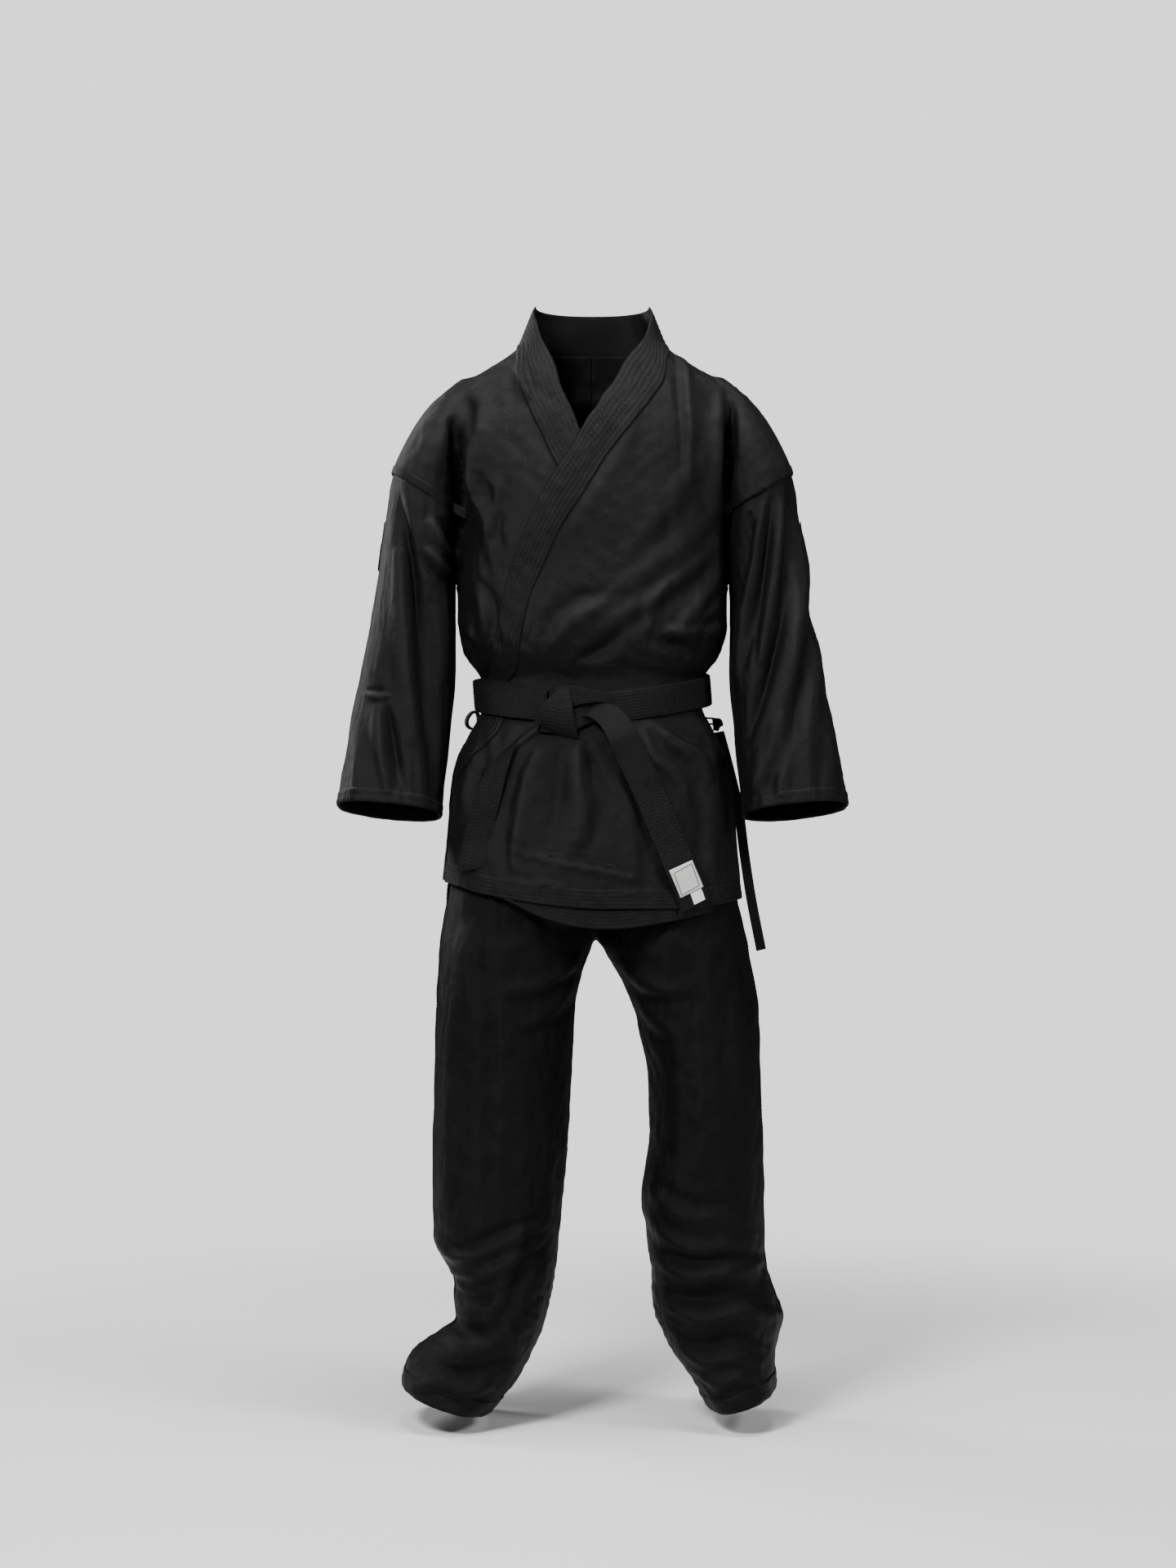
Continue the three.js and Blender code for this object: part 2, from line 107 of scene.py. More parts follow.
def wear_and_shade_group():
    """Tone over the cloth: broad cloudy patches of faded colour, lint specks, and the crest attribute, which is
    rubbed colour with painted highlight on the fold crests and painted shade in the fold valleys and stitch grooves.
    """
    group, given, out = new_group("worn_dye_and_painted_shade", {"Clouds": 5.0, "Lint": 900.0}, ["Bloom", "Specks"])
    place = node(group, "ShaderNodeTexCoord").outputs["Object"]
    clouds = node(group, "ShaderNodeTexNoise", {"Vector": place, "Scale": given["Clouds"], "Detail": 5.0,
                                                "Roughness": 0.62})
    # Painted shade and highlight: the crest attribute darkens fold valleys and stitch grooves and lightens the
    # crests.
    crest = node(group, "ShaderNodeAttribute", attribute_name="crest").outputs["Fac"]
    cloudy = node(group, "ShaderNodeMapRange", {"Value": clouds.outputs["Fac"], "From Min": 0.35,
                                                "From Max": 0.7,
                                                "To Max": 0.6})
    wear_and_shade_mix = node(group, "ShaderNodeMath", {0: cloudy.outputs["Result"], 1: crest}, operation="ADD",
                 use_clamp=True)
    lint = node(group, "ShaderNodeTexNoise", {"Vector": place, "Scale": given["Lint"], "Detail": 1.0})
    specks = node(group, "ShaderNodeMapRange", {"Value": lint.outputs["Fac"], "From Min": 0.72,
                                                "From Max": 0.8})
    group.links.new(wear_and_shade_mix.outputs[0], out["Bloom"])
    group.links.new(specks.outputs["Result"], out["Specks"])
    return group


TWILL, WEAR_AND_SHADE = twill_group(), wear_and_shade_group()


def cloth(name, deep, worn, roughness=0.62, pitch=1100.0, bump=0.00035, sheen=0.05, specular=0.16,
          creases=0.0):
    """A woven cloth: deep is its colour in fold valleys and stitch grooves, a painted shade, and worn its lighter
    tone on fold crests and raised yarns, partly rubbed colour and partly painted highlight.
    """
    material = bpy.data.materials.new(name)
    material.use_nodes = True
    tree = material.node_tree
    shader = tree.nodes["Principled BSDF"]
    weave = node(tree, "ShaderNodeGroup", node_tree=TWILL)
    weave.inputs["Pitch"].default_value = pitch
    wear_and_shade = node(tree, "ShaderNodeGroup", node_tree=WEAR_AND_SHADE)
    dye_wear_and_shade = node(tree, "ShaderNodeMix", {"Factor": wear_and_shade.outputs["Bloom"], "A": (*deep, 1), "B": (*worn, 1)},
               data_type="RGBA")
    tone_with_ridge_highlight = node(tree, "ShaderNodeMix", {"Factor": weave.outputs["Height"], 6: dye_wear_and_shade.outputs[2],
                                           7: (*worn, 1)}, data_type="RGBA")
    tone_with_ridge_highlight.inputs[0].default_value = 0.0
    # Painted highlight on the raised yarns of the twill, with the slubs, tinted toward the lighter tone.
    ridge_highlight_and_slubs = node(tree, "ShaderNodeMath", {0: weave.outputs["Height"], 1: 0.3}, operation="MULTIPLY")
    tree.links.new(ridge_highlight_and_slubs.outputs[0], tone_with_ridge_highlight.inputs[0])
    tree.links.new(tone_with_ridge_highlight.outputs[2], shader.inputs["Base Color"])
    gloss = node(tree, "ShaderNodeMapRange", {"Value": wear_and_shade.outputs["Bloom"], "To Min": roughness + 0.06,
                                              "To Max": roughness - 0.06})
    tree.links.new(gloss.outputs["Result"], shader.inputs["Roughness"])
    height = weave.outputs["Height"]
    first = node(tree, "ShaderNodeBump", {"Height": height, "Distance": bump, "Strength": 0.5})
    normal = first.outputs["Normal"]
    if creases:
        place = node(tree, "ShaderNodeTexCoord").outputs["Object"]
        crumple = node(tree, "ShaderNodeTexNoise", {"Vector": place, "Scale": 26.0, "Detail": 4.0,
                                                    "Roughness": 0.55, "Distortion": 0.8})
        normal = node(tree, "ShaderNodeBump", {"Height": crumple.outputs["Fac"], "Distance": creases,
                                               "Strength": 0.6, "Normal": normal}).outputs["Normal"]
    tree.links.new(normal, shader.inputs["Normal"])
    shader.inputs["Specular IOR Level"].default_value = specular
    shader.inputs["Sheen Weight"].default_value = sheen
    shader.inputs["Sheen Roughness"].default_value = 0.45
    shader.inputs["Sheen Tint"].default_value = (0.75, 0.78, 0.86, 1)
    return material


DRILL = cloth("black_drill", (0.0010, 0.0011, 0.0017), (0.0040, 0.0039, 0.0041), creases=0.003, roughness=0.5,
              specular=0.13, sheen=0.008)
BAND = cloth("quilted_lapel_drill", (0.0011, 0.0012, 0.0018), (0.0046, 0.0045, 0.0047), pitch=1300,
             roughness=0.52,
             specular=0.13, creases=0.0015, sheen=0.008)
THREAD = cloth("black_thread", (0.0022, 0.0023, 0.0028), (0.0070, 0.0070, 0.0072), pitch=2600, sheen=0.01)

# ---------------------------------------------------------------- left side tie
# A flat cotton tape sewn at the hip, hanging free beside the skirt from its knot.
SIDE_TIE = [(177, 42, 953), (190, 44, 905), (204, 45, 845), (212, 46, 785), (222, 47, 720), (236, 48, 648)]
SIDE_TIE_WIDTH, SIDE_TIE_THICK = 18, 1.4


def in_frame(points):
    """Millimetres above the floor, as a tailor measures, to metres from the neck."""
    return np.asarray(points, float) / 1000 - (0, 0, NECK_BASE)


def smooth_line(points, count):
    """A rounded line through given points, in even steps."""
    points = np.asarray(points, float)
    padded = np.vstack([2 * points[0] - points[1], points, 2 * points[-1] - points[-2]])
    fine = []
    for i in range(len(points) - 1):
        a, b, c, d = padded[i:i + 4]
        for t in np.linspace(0, 1, 24, endpoint=i == len(points) - 2):
            fine.append(0.5 * (2 * b + (c - a) * t + (2 * a - 5 * b + 4 * c - d) * t ** 2
                               + (3 * b - 3 * c + d - a) * t ** 3))
    fine = np.array(fine)
    steps = np.concatenate([[0], np.cumsum(np.linalg.norm(np.diff(fine, axis=0), axis=1))])
    even = np.linspace(0, steps[-1], count)
    return np.column_stack([np.interp(even, steps, fine[:, k]) for k in range(fine.shape[1])])


def mesh_piece(name, points, faces, material, crest=None, smooth=True):
    """One piece from points in metres. crest, 0 to 1, sets its tone: low is painted shade in fold valleys and stitch
    grooves, high is rubbed colour with painted highlight on crests.
    """
    mesh = bpy.data.meshes.new(name)
    mesh.from_pydata([tuple(p) for p in points], [], [tuple(int(i) for i in f) for f in faces])
    mesh.polygons.foreach_set("use_smooth", [smooth] * len(mesh.polygons))
    if crest is not None:
        mesh.attributes.new("crest", "FLOAT", "POINT").data.foreach_set("value",
                                                                        np.asarray(crest, np.float32))
    mesh.materials.append(material)
    mesh.validate()
    mesh.update()
    piece = bpy.data.objects.new(name, mesh)
    bpy.context.collection.objects.link(piece)
    return piece


def outward(piece):
    """Turns a closed or open piece's faces the same way, away from its middle."""
    work = bmesh.new()
    work.from_mesh(piece.data)
    bmesh.ops.remove_doubles(work, verts=work.verts, dist=1e-6)
    bmesh.ops.recalc_face_normals(work, faces=work.faces)
    work.to_mesh(piece.data)
    work.free()
    piece.data.polygons.foreach_set("use_smooth", [True] * len(piece.data.polygons))
    return piece


def pressed_rows(across, along, rows, groove, pucker, seed):
    """Height of a stitched band over its width (-1 to 1) and length (mm): grooves, and puckers between."""
    rng = np.random.default_rng(seed)
    bands = np.floor((across + 1) / 2 * (rows + 1)).astype(int)
    within = (across + 1) / 2 * (rows + 1) - bands
    dip = np.exp(-(np.minimum(within, 1 - within) / 0.16) ** 2)
    dip = np.where((np.abs(across) > 0.93), 0, dip)
    phase = rng.uniform(0, 2 * math.pi, rows + 3)[np.clip(bands, 0, rows + 2)]
    wave = rng.uniform(4.2, 5.8, rows + 3)[np.clip(bands, 0, rows + 2)]
    drift = 1.4 * np.sin(along / 23 + phase * 2) + 0.8 * np.sin(along / 9.1 + phase * 5)
    ripple = np.sin(2 * math.pi * along / wave + phase + drift) * np.sin(math.pi * within) ** 0.7
    fade = 0.65 + 0.35 * np.sin(along / 37 + seed)
    return -groove * dip + pucker * ripple * fade


def band_piece(name, centre, side, normal, thick, material, rows=0, groove=0.35, pucker=0.3, columns=None,
               seed=1, crest=0.35):
    """A flat band: a centreline, a half-width vector and a facing direction at each step, in mm."""
    centre, side, normal = (np.asarray(v, float) for v in (centre, side, normal))
    normal = normal / np.linalg.norm(normal, axis=1, keepdims=True)
    columns = columns or (4 * (rows + 1) + 3 if rows else 7)
    spread = np.sin(np.linspace(-1, 1, columns) * math.pi / 2) * 0.25 + np.linspace(-1, 1, columns) * 0.75
    along = np.concatenate([[0], np.cumsum(np.linalg.norm(np.diff(centre, axis=0), axis=1))])
    face = np.zeros((len(centre), columns))
    if rows:
        face = pressed_rows(spread[None, :] + 0 * along[:, None], along[:, None] + 0 * spread[None, :],
                            rows, groove, pucker, seed)
    edge = np.sqrt(np.clip(1 - np.abs(spread) ** 9, 0, 1))
    front = centre[:, None] + side[:, None] * spread[None, :, None] \
        + normal[:, None] * (thick / 2 * edge[None, :] + face)[..., None]
    back = centre[:, None] + side[:, None] * spread[None, :, None] \
        - normal[:, None] * (thick / 2 * edge[None, :] - 0.6 * face)[..., None]
    loop = np.concatenate([front, back[:, ::-1]], axis=1)
    n, m = loop.shape[:2]
    ids = np.arange(n * m).reshape(n, m)
    faces = [(ids[i, j], ids[i + 1, j], ids[i + 1, (j + 1) % m], ids[i, (j + 1) % m])
             for i in range(n - 1) for j in range(m)]
    faces += [tuple(ids[0]), tuple(ids[-1][::-1])]
    shade = np.clip(crest + 0.35 * face / max(pucker + groove, 1e-6), 0, 1)
    shade = np.concatenate([shade, shade[:, ::-1]], axis=1)
    return outward(mesh_piece(name, in_frame(loop.reshape(-1, 3)), faces, material, shade.reshape(-1)))


tie_line = smooth_line(SIDE_TIE, 90)
tie_across = np.array([0.8, 0.6, 0.15]) / np.linalg.norm([0.8, 0.6, 0.15])
tie_side = np.repeat([tie_across * SIDE_TIE_WIDTH / 2], len(tie_line), axis=0)
tie_face = np.cross(tie_side, np.gradient(tie_line, axis=0))
left_tie = band_piece("left_side_tie", tie_line, tie_side, tie_face, SIDE_TIE_THICK, BAND, rows=2,
                      groove=0.15, pucker=0.12, seed=3)
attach(left_tie, "left_side_tie")
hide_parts("left_side_tie_tail")

# ---------------------------------------------------------------- jacket cloth
# Body and drop shoulders as one skin, with the folds that hang from the shoulders and the belt.
# Rows are height, half width and half depth, in mm; arms have a centre as well.
JACKET = [(640, 208, 143), (650, 207, 142), (860, 191, 131), (925, 181, 125), (950, 169, 118),
          (966, 160, 112),
          (980, 151, 106), (1028, 151, 106), (1044, 166, 114), (1060, 178, 120), (1087, 184, 124),
          (1230, 185, 124), (1270, 192, 122), (1320, 214, 116),
          (1373, 223, 106), (1418, 205, 94), (1452, 145, 84), (1480, 101, 76), (1545, 75, 60)]
SLEEVE = [(1442, 160, 0, 6, 26), (1428, 178, 0, 20, 42), (1412, 186, 0, 30, 56), (1373, 203, 0, 41, 74),
          (1340, 214, 0, 48, 80), (1307, 229, 0, 48, 84),
          (1232, 238, 0, 48, 86), (1130, 246, -2, 54, 84), (1000, 258, -15, 67, 78), (900, 271, -35, 72, 70),
          (780, 285, -58, 72, 64)]
BODY_Y, ROUND, ARM_ROUND = 5, 2.4, 2.2
ARMHOLE = {"x": 277, "h": 1307, "down": (89, 57)}
VOXEL = 0.0046


def eased(rows, step=2.0, blur=9.0):
    """A table of sizes by height, with its corners eased as cloth eases them."""
    rows = np.array(sorted(rows), float)
    heights = np.arange(rows[0, 0], rows[-1, 0] + step, step)
    table = np.column_stack([np.interp(heights, rows[:, 0], rows[:, k]) for k in range(1, rows.shape[1])])
    reach = np.arange(-4 * blur, 4 * blur + step, step)
    kernel = np.exp(-(reach / blur) ** 2 / 2)
    kernel /= kernel.sum()
    padded = np.pad(table, ((len(reach) // 2, len(reach) // 2), (0, 0)), mode="edge")
    smoothed = np.column_stack([np.convolve(padded[:, k], kernel, "valid") for k in range(table.shape[1])])
    return lambda h: np.column_stack([np.interp(np.ravel(h), heights, smoothed[:, k])
                                      for k in range(table.shape[1])])


def curved(value, power):
    return np.sign(value) * np.abs(value) ** power


jacket_size, sleeve_size = eased(JACKET, blur=6.5), eased(SLEEVE, blur=14.0)


def on_jacket(turn, h, grow=0.0):
    """Points on the jacket: turn is degrees from centre front towards the wearer's left."""
    turn, h, grow = (np.ravel(v).astype(float) for v in np.broadcast_arrays(turn, h, grow))
    size, angle = jacket_size(h), np.radians(turn)
    x = (size[:, 0] + grow) * curved(np.sin(angle), 2 / ROUND)
    y = BODY_Y - (size[:, 1] + grow) * curved(np.cos(angle), 2 / ROUND)
    return np.column_stack([x, y, h])


def turn_of(points):
    """The turn of any point near the jacket."""
    size = jacket_size(points[:, 2])
    u, v = points[:, 0] / size[:, 0], (points[:, 1] - BODY_Y) / size[:, 1]
    return np.degrees(np.arctan2(curved(u, ROUND / 2), -curved(v, ROUND / 2)))


def tube_form(rings):
    """Closed skin over rings of points, each an (n, 3) array, bottom ring first."""
    n = len(rings[0])
    points = np.vstack([*rings, rings[0].mean(0), rings[-1].mean(0)])
    ids = np.arange(len(rings) * n).reshape(len(rings), n)
    faces = [(ids[k, i], ids[k, (i + 1) % n], ids[k + 1, (i + 1) % n], ids[k + 1, i])
             for k in range(len(rings) - 1) for i in range(n)]
    low, high = len(points) - 2, len(points) - 1
    faces += [(low, ids[0, (i + 1) % n], ids[0, i]) for i in range(n)]
    faces += [(high, ids[-1, i], ids[-1, (i + 1) % n]) for i in range(n)]
    return points, faces


def limb_ring(size, h, side, count=72, grow=0.0):
    """One level ring of an arm or a leg."""
    x, y, wide, deep = size(h)[0]
    angle = np.linspace(0, 2 * math.pi, count, endpoint=False)
    return np.column_stack([side * (x + (wide + grow) * curved(np.cos(angle), 2 / ARM_ROUND)),
                            y + (deep + grow) * curved(np.sin(angle), 2 / ARM_ROUND), np.full(count, h)])


def one_skin(name, forms, voxel, easing):
    """Closed forms joined into one even skin, then eased as a pressed garment is."""
    pieces = []
    for index, (points, faces) in enumerate(forms):
        pieces.append(outward(mesh_piece(f"{name}_{index}", in_frame(points), faces, DRILL)))
    work = bmesh.new()
    for piece in pieces:
        work.from_mesh(piece.data)
        bpy.data.objects.remove(piece)
    mesh = bpy.data.meshes.new(name)
    work.to_mesh(mesh)
    work.free()
    skin = bpy.data.objects.new(name, mesh)
    bpy.context.collection.objects.link(skin)
    skin.modifiers.new("even", "REMESH").voxel_size = voxel
    ease = skin.modifiers.new("ease", "SMOOTH")
    ease.factor, ease.iterations = 0.5, easing
    graph = bpy.context.evaluated_depsgraph_get()
    made = bpy.data.meshes.new_from_object(skin.evaluated_get(graph))
    bpy.data.objects.remove(skin)
    return made


def cut_planes(mesh, planes):
    """Adds clean edges where the garment's seams and hems fall; planes are (point mm, normal)."""
    work = bmesh.new()
    work.from_mesh(mesh)
    for point, normal in planes:
        everything = [*work.verts, *work.edges, *work.faces]
        bmesh.ops.bisect_plane(work, geom=everything, dist=2e-4, plane_co=Vector(in_frame(point)),
                               plane_no=Vector(normal).normalized())
    bmesh.ops.triangulate(work, faces=[f for f in work.faces if len(f.verts) > 4])
    work.normal_update()
    points = np.array([v.co[:] for v in work.verts]) * 1000 + (0, 0, NECK_BASE * 1000)
    normals = np.array([v.normal[:] for v in work.verts])
    faces = [tuple(v.index for v in f.verts) for f in work.faces]
    work.free()
    return points, normals, faces


def fold_height(points, folds, facing, power=1.5, narrow=0.85):
    """How far the folds lift each point. A fold is (line of x and height, lift, width, lean):
    lean puts its valley on one side, and facing (0 to 1) keeps it to the front or the back."""
    lift = np.zeros(len(points))
    flat = points[:, [0, 2]]
    for line, rise, width, lean in folds:
        line = smooth_line(line, 14) if len(line) > 2 else np.linspace(line[0], line[1], 6)
        best = np.full(len(points), 1e9)
        signed, share = np.zeros(len(points)), np.zeros(len(points))
        for i in range(len(line) - 1):
            a, d = line[i], line[i + 1] - line[i]
            t = np.clip(((flat - a) @ d) / (d @ d), 0, 1)
            gap = flat - (a + t[:, None] * d)
            far = np.hypot(gap[:, 0], gap[:, 1])
            nearer = far < best
            best[nearer] = far[nearer]
            cross = d[0] * gap[:, 1] - d[1] * gap[:, 0]
            signed[nearer] = (np.sign(cross) * far)[nearer]
            share[nearer] = ((i + t) / (len(line) - 1))[nearer]
        taper = np.sin(math.pi * np.clip(share, 0.0, 1.0)) ** 0.6 * 0.92 + 0.08
        wide = width * narrow * (0.7 + 0.6 * taper)
        crest = np.exp(-(signed / wide) ** 2)
        valley = 0.55 * np.exp(-((signed - lean * 1.55 * wide) / (0.75 * wide)) ** 2) * abs(lean)
        lift += rise * taper * (crest - valley)
    return lift * facing * power


def cloth_noise(points, stretch, seed, size=60.0, count=9):
    """Soft irregular undulation, longer along some axes than others, about -1 to 1."""
    rng = np.random.default_rng(seed)
    place = points / np.asarray(stretch, float) / size
    total = np.zeros(len(points))
    for octave in range(count):
        scale = 1.0 + 0.55 * octave
        wave = rng.normal(size=3)
        wave *= 2 * math.pi * scale / np.linalg.norm(wave)
        bend = 0.9 * np.sin(place @ (rng.normal(size=3) * 2.2) + rng.uniform(0, 6))
        total += np.sin(place @ wave + rng.uniform(0, 6) + bend) / scale ** 0.9
    return total / 2.6


FRONT_FOLDS = [
    # shoulders and chest
    ([(118, 1478), (126, 1430), (131, 1360), (128, 1290)], 4.5, 7, -1),
    ([(-104, 1455), (-96, 1425), (-84, 1398)], 3.0, 7, 1),
    ([(-150, 1420), (-152, 1360), (-160, 1290), (-158, 1230)], 3.5, 11, -1),
    ([(190, 1398), (187, 1370), (184, 1320), (180, 1262)], -17, 7, 0),
    ([(173, 1420), (170, 1370), (168, 1310), (160, 1240)], 5.5, 10, 0),
    ([(-190, 1376), (-186, 1340), (-184, 1290), (-178, 1220), (-176, 1160)], -17, 7, 0),
    ([(-170, 1380), (-169, 1320), (-166, 1250)], 4.5, 9, 0),
    ([(-168, 1300), (-145, 1235), (-136, 1180)], 3.0, 9, 1),
    ([(172, 1215), (120, 1165), (60, 1120), (5, 1085)], 3.6, 12, 1),
    ([(176, 1260), (130, 1210), (80, 1175), (20, 1130)], 2.8, 13, 1),
    ([(150, 1330), (110, 1270), (70, 1220), (40, 1180)], 2.2, 14, 1),
    ([(60, 1390), (40, 1330), (10, 1280), (-30, 1215)], 2.0, 12, -1),
    ([(176, 1178), (150, 1135), (118, 1098)], 5.0, 9, 1),
    ([(170, 1130), (140, 1100), (95, 1080)], 6.0, 10, 1),
    ([(182, 1100), (150, 1085), (122, 1080), (100, 1092)], 5.0, 8, -1),
    ([(100, 1150), (80, 1120), (72, 1075)], 4.0, 9, -1),
    ([(25, 1125), (-25, 1100), (-55, 1062)], 5.0, 13, -1),
    ([(40, 1085), (15, 1062), (-20, 1048)], -6.5, 9, 0),
    ([(90, 1075), (130, 1062), (150, 1050)], -5.0, 8, 0),
    ([(-160, 1150), (-148, 1110), (-150, 1072)], 5.0, 9, 1),
    ([(-175, 1110), (-165, 1085), (-152, 1066)], 4.0, 7, -1),
    ([(-125, 1300), (-135, 1250), (-150, 1200)], 2.4, 8, 1),
    # skirt, from the knot down
    ([(-46, 930), (-48, 880), (-56, 830), (-60, 780)], -5.0, 14, 0),
    ([(-24, 925), (-18, 880), (-14, 840), (-20, 800)], 6.5, 14, 1),
    ([(-8, 935), (-2, 900), (-2, 860)], -3.0, 8, 0),
    ([(-64, 935), (-84, 890), (-96, 840), (-104, 770)], 4.5, 11, -1),
    ([(20, 930), (36, 870), (50, 800), (54, 740)], 3.0, 13, 1),
    ([(66, 950), (84, 915), (112, 890), (128, 850)], 4.5, 9, 1),
    ([(76, 962), (110, 936), (144, 915), (158, 880)], 4.5, 8, 1),
    ([(150, 890), (162, 840), (160, 790), (170, 740)], 3.0, 10, -1),
    ([(100, 840), (120, 790), (122, 745)], 2.5, 11, 1),
    ([(-120, 800), (-60, 786), (10, 774), (70, 760)], 2.0, 3.0, 1),
    ([(-30, 782), (20, 772), (72, 758)], 1.6, 3.0, -1),
    ([(-128, 764), (-90, 756), (-60, 758), (-20, 750)], 1.6, 4.0, 1),
    ([(-10, 750), (30, 745), (66, 747), (110, 742)], 1.5, 4.0, 1),
    ([(-150, 930), (-170, 880), (-178, 830)], 4.0, 9, 1),
]
BACK_FOLDS = [
    ([(-120, 1400), (-60, 1380), (0, 1385), (60, 1375), (120, 1395)], 4.0, 18, 1),
    ([(-150, 1330), (-90, 1280), (-60, 1200), (-50, 1120)], 5.0, 14, 1),
    ([(150, 1330), (95, 1270), (70, 1190), (55, 1110)], 5.0, 14, -1),
    ([(-172, 1280), (-150, 1200), (-120, 1110), (-100, 1066)], 6.0, 12, 1),
    ([(172, 1280), (152, 1200), (126, 1110), (104, 1066)], 6.0, 12, -1),
    ([(-30, 1180), (-22, 1120), (-30, 1062)], 5.0, 11, 1),
    ([(20, 1160), (28, 1110), (22, 1060)], 5.0, 11, -1),
    ([(-80, 1130), (-70, 1095), (-74, 1058)], 5.0, 8, -1),
    ([(75, 1130), (72, 1095), (80, 1058)], 5.0, 8, 1),
    ([(-184, 1330), (-182, 1270), (-176, 1200)], -11, 7, 0),
    ([(184, 1330), (182, 1270), (176, 1200)], -11, 7, 0),
    ([(-110, 950), (-118, 880), (-112, 790), (-118, 715)], 6.0, 15, 1),
    ([(-55, 950), (-48, 880), (-58, 780), (-52, 715)], 6.5, 15, -1),
    ([(5, 950), (0, 880), (8, 790), (2, 715)], 6.0, 15, 1),
    ([(60, 950), (66, 880), (58, 790), (64, 715)], 6.5, 15, -1),
    ([(120, 950), (126, 880), (118, 790), (124, 715)], 6.0, 15, 1),
]


LEFT_HEM_LINE = [(-200, 748), (-141, 731), (-28, 715), (60, 713), (141, 714), (203, 723)]
RIGHT_HEM_LINE = [(-200, 745), (-130, 729), (-60, 699), (13, 686), (100, 695), (203, 717)]


def hem_height(line, points):
    """The height of a curved hem at each point."""
    curve = smooth_line(line, 200)
    return np.interp(points[:, 0], curve[:, 0], curve[:, 1])


def smooth_between(value, low, high):
    t = np.clip((value - low) / (high - low), 0, 1)
    return t * t * (3 - 2 * t)


body_rings = [on_jacket(np.linspace(0, 360, 150, endpoint=False), h) for h in range(640, 1500, 6)]
arm_heights = list(range(1150, 1440, 6))
jacket_forms = [tube_form(body_rings)]
for side in (1, -1):
    jacket_forms.append(tube_form([limb_ring(sleeve_size, h, side) for h in arm_heights]))
jacket_skin = one_skin("jacket_skin", jacket_forms, VOXEL, 9)

slope = np.array(ARMHOLE["down"], float) / np.hypot(*ARMHOLE["down"])
LEFT_HEM, RIGHT_HEM, BACK_HEM = (729, (0.055, 0, 1)), 688, 706
SIDE_VENT, SIDE_SEAMS, NECK_SEAM = 930, (-23, 33), 1481
seam_planes = [((0, 0, LEFT_HEM[0]), LEFT_HEM[1]), ((0, 0, RIGHT_HEM), (0, 0, 1)),
               ((0, 0, BACK_HEM), (0, 0, 1)),
               ((0, 0, SIDE_VENT), (0, 0, 1)), ((0, 0, 1244), (0, 0, 1)), ((0, 0, NECK_SEAM), (0, 0, 1)),
               ((0, BODY_Y, 0), (0, 1, 0)), ((0, SIDE_SEAMS[0], 0), (0, 1, 0)),
               ((0, SIDE_SEAMS[1], 0), (0, 1, 0)),
               ((0, 0, 0), (1, 0, 0))]
for side in (1, -1):
    seam_planes.append(((side * ARMHOLE["x"], 0, ARMHOLE["h"]), (side * slope[1], 0, -slope[0])))
skin_points, skin_normals, skin_faces = cut_planes(jacket_skin, seam_planes)


def past_armhole(points):
    """Millimetres beyond the armhole seam, towards the hand."""
    return (np.abs(points[:, 0]) - ARMHOLE["x"]) * slope[1] - (points[:, 2] - ARMHOLE["h"]) * slope[0]


def crumple(points, stretch, seed, size=44.0):
    """Fine sharp-edged creases, as pressed cotton takes them: ridges where two soft waves cross."""
    a, b = cloth_noise(points, stretch, seed, size), cloth_noise(points, stretch, seed + 1, size * 0.7)
    ridge = np.exp(-(a / 0.16) ** 2) - 0.6 * np.exp(-((b - 0.2) / 0.2) ** 2)
    patchy = smooth_between(cloth_noise(points, (1, 1, 1), seed + 2, size * 2.6, 4), -0.2, 0.7)
    return ridge * (0.25 + 0.75 * patchy)


def jacket_lift(points, normals):
    front = smooth_between(-normals[:, 1], -0.25, 0.35)
    back = smooth_between(normals[:, 1], -0.25, 0.35)
    lift = fold_height(points, FRONT_FOLDS, front) + fold_height(points, BACK_FOLDS, back)
    tall = smooth_between(points[:, 2], 930, 1000)
    lift += 1.5 * cloth_noise(points, (1, 1, 2.4), 11) * (1 - tall) + 1.3 * cloth_noise(points, (1.2, 1, 1.4),
                                                                                        12) * tall
    lift += 0.5 * cloth_noise(points, (1, 1, 1), 13, size=24.0) + 0.7 * crumple(points, (1.3, 1, 1.5), 61)
    beside_arm = smooth_between(np.abs(normals[:, 0]), 0.6, 0.9) * smooth_between(points[:, 2], 1070, 1110)
    lift = lift * (1 - 0.75 * beside_arm) + 1.8 * beside_arm
    blouse = np.exp(-((points[:, 2] - 1078) / 26) ** 2)
    lift += 2.2 * blouse * cloth_noise(points, (0.5, 0.5, 3), 14, size=40.0)
    belted = np.exp(-((points[:, 2] - (996)) / 26) ** 2)
    calm_neck = 1 - 0.8 * smooth_between(points[:, 2], 1440, 1480)
    return lift * (1 - 0.85 * belted) * calm_neck


skin_lift = jacket_lift(skin_points, skin_normals)
skin_turn = turn_of(skin_points)
skin_shape = skin_points + skin_normals * skin_lift[:, None]
# Tone from the folds: painted shade in the valleys, rubbed colour with painted highlight on the crests.
skin_fold_tone = np.clip(0.3 + skin_lift / 14, 0, 1)

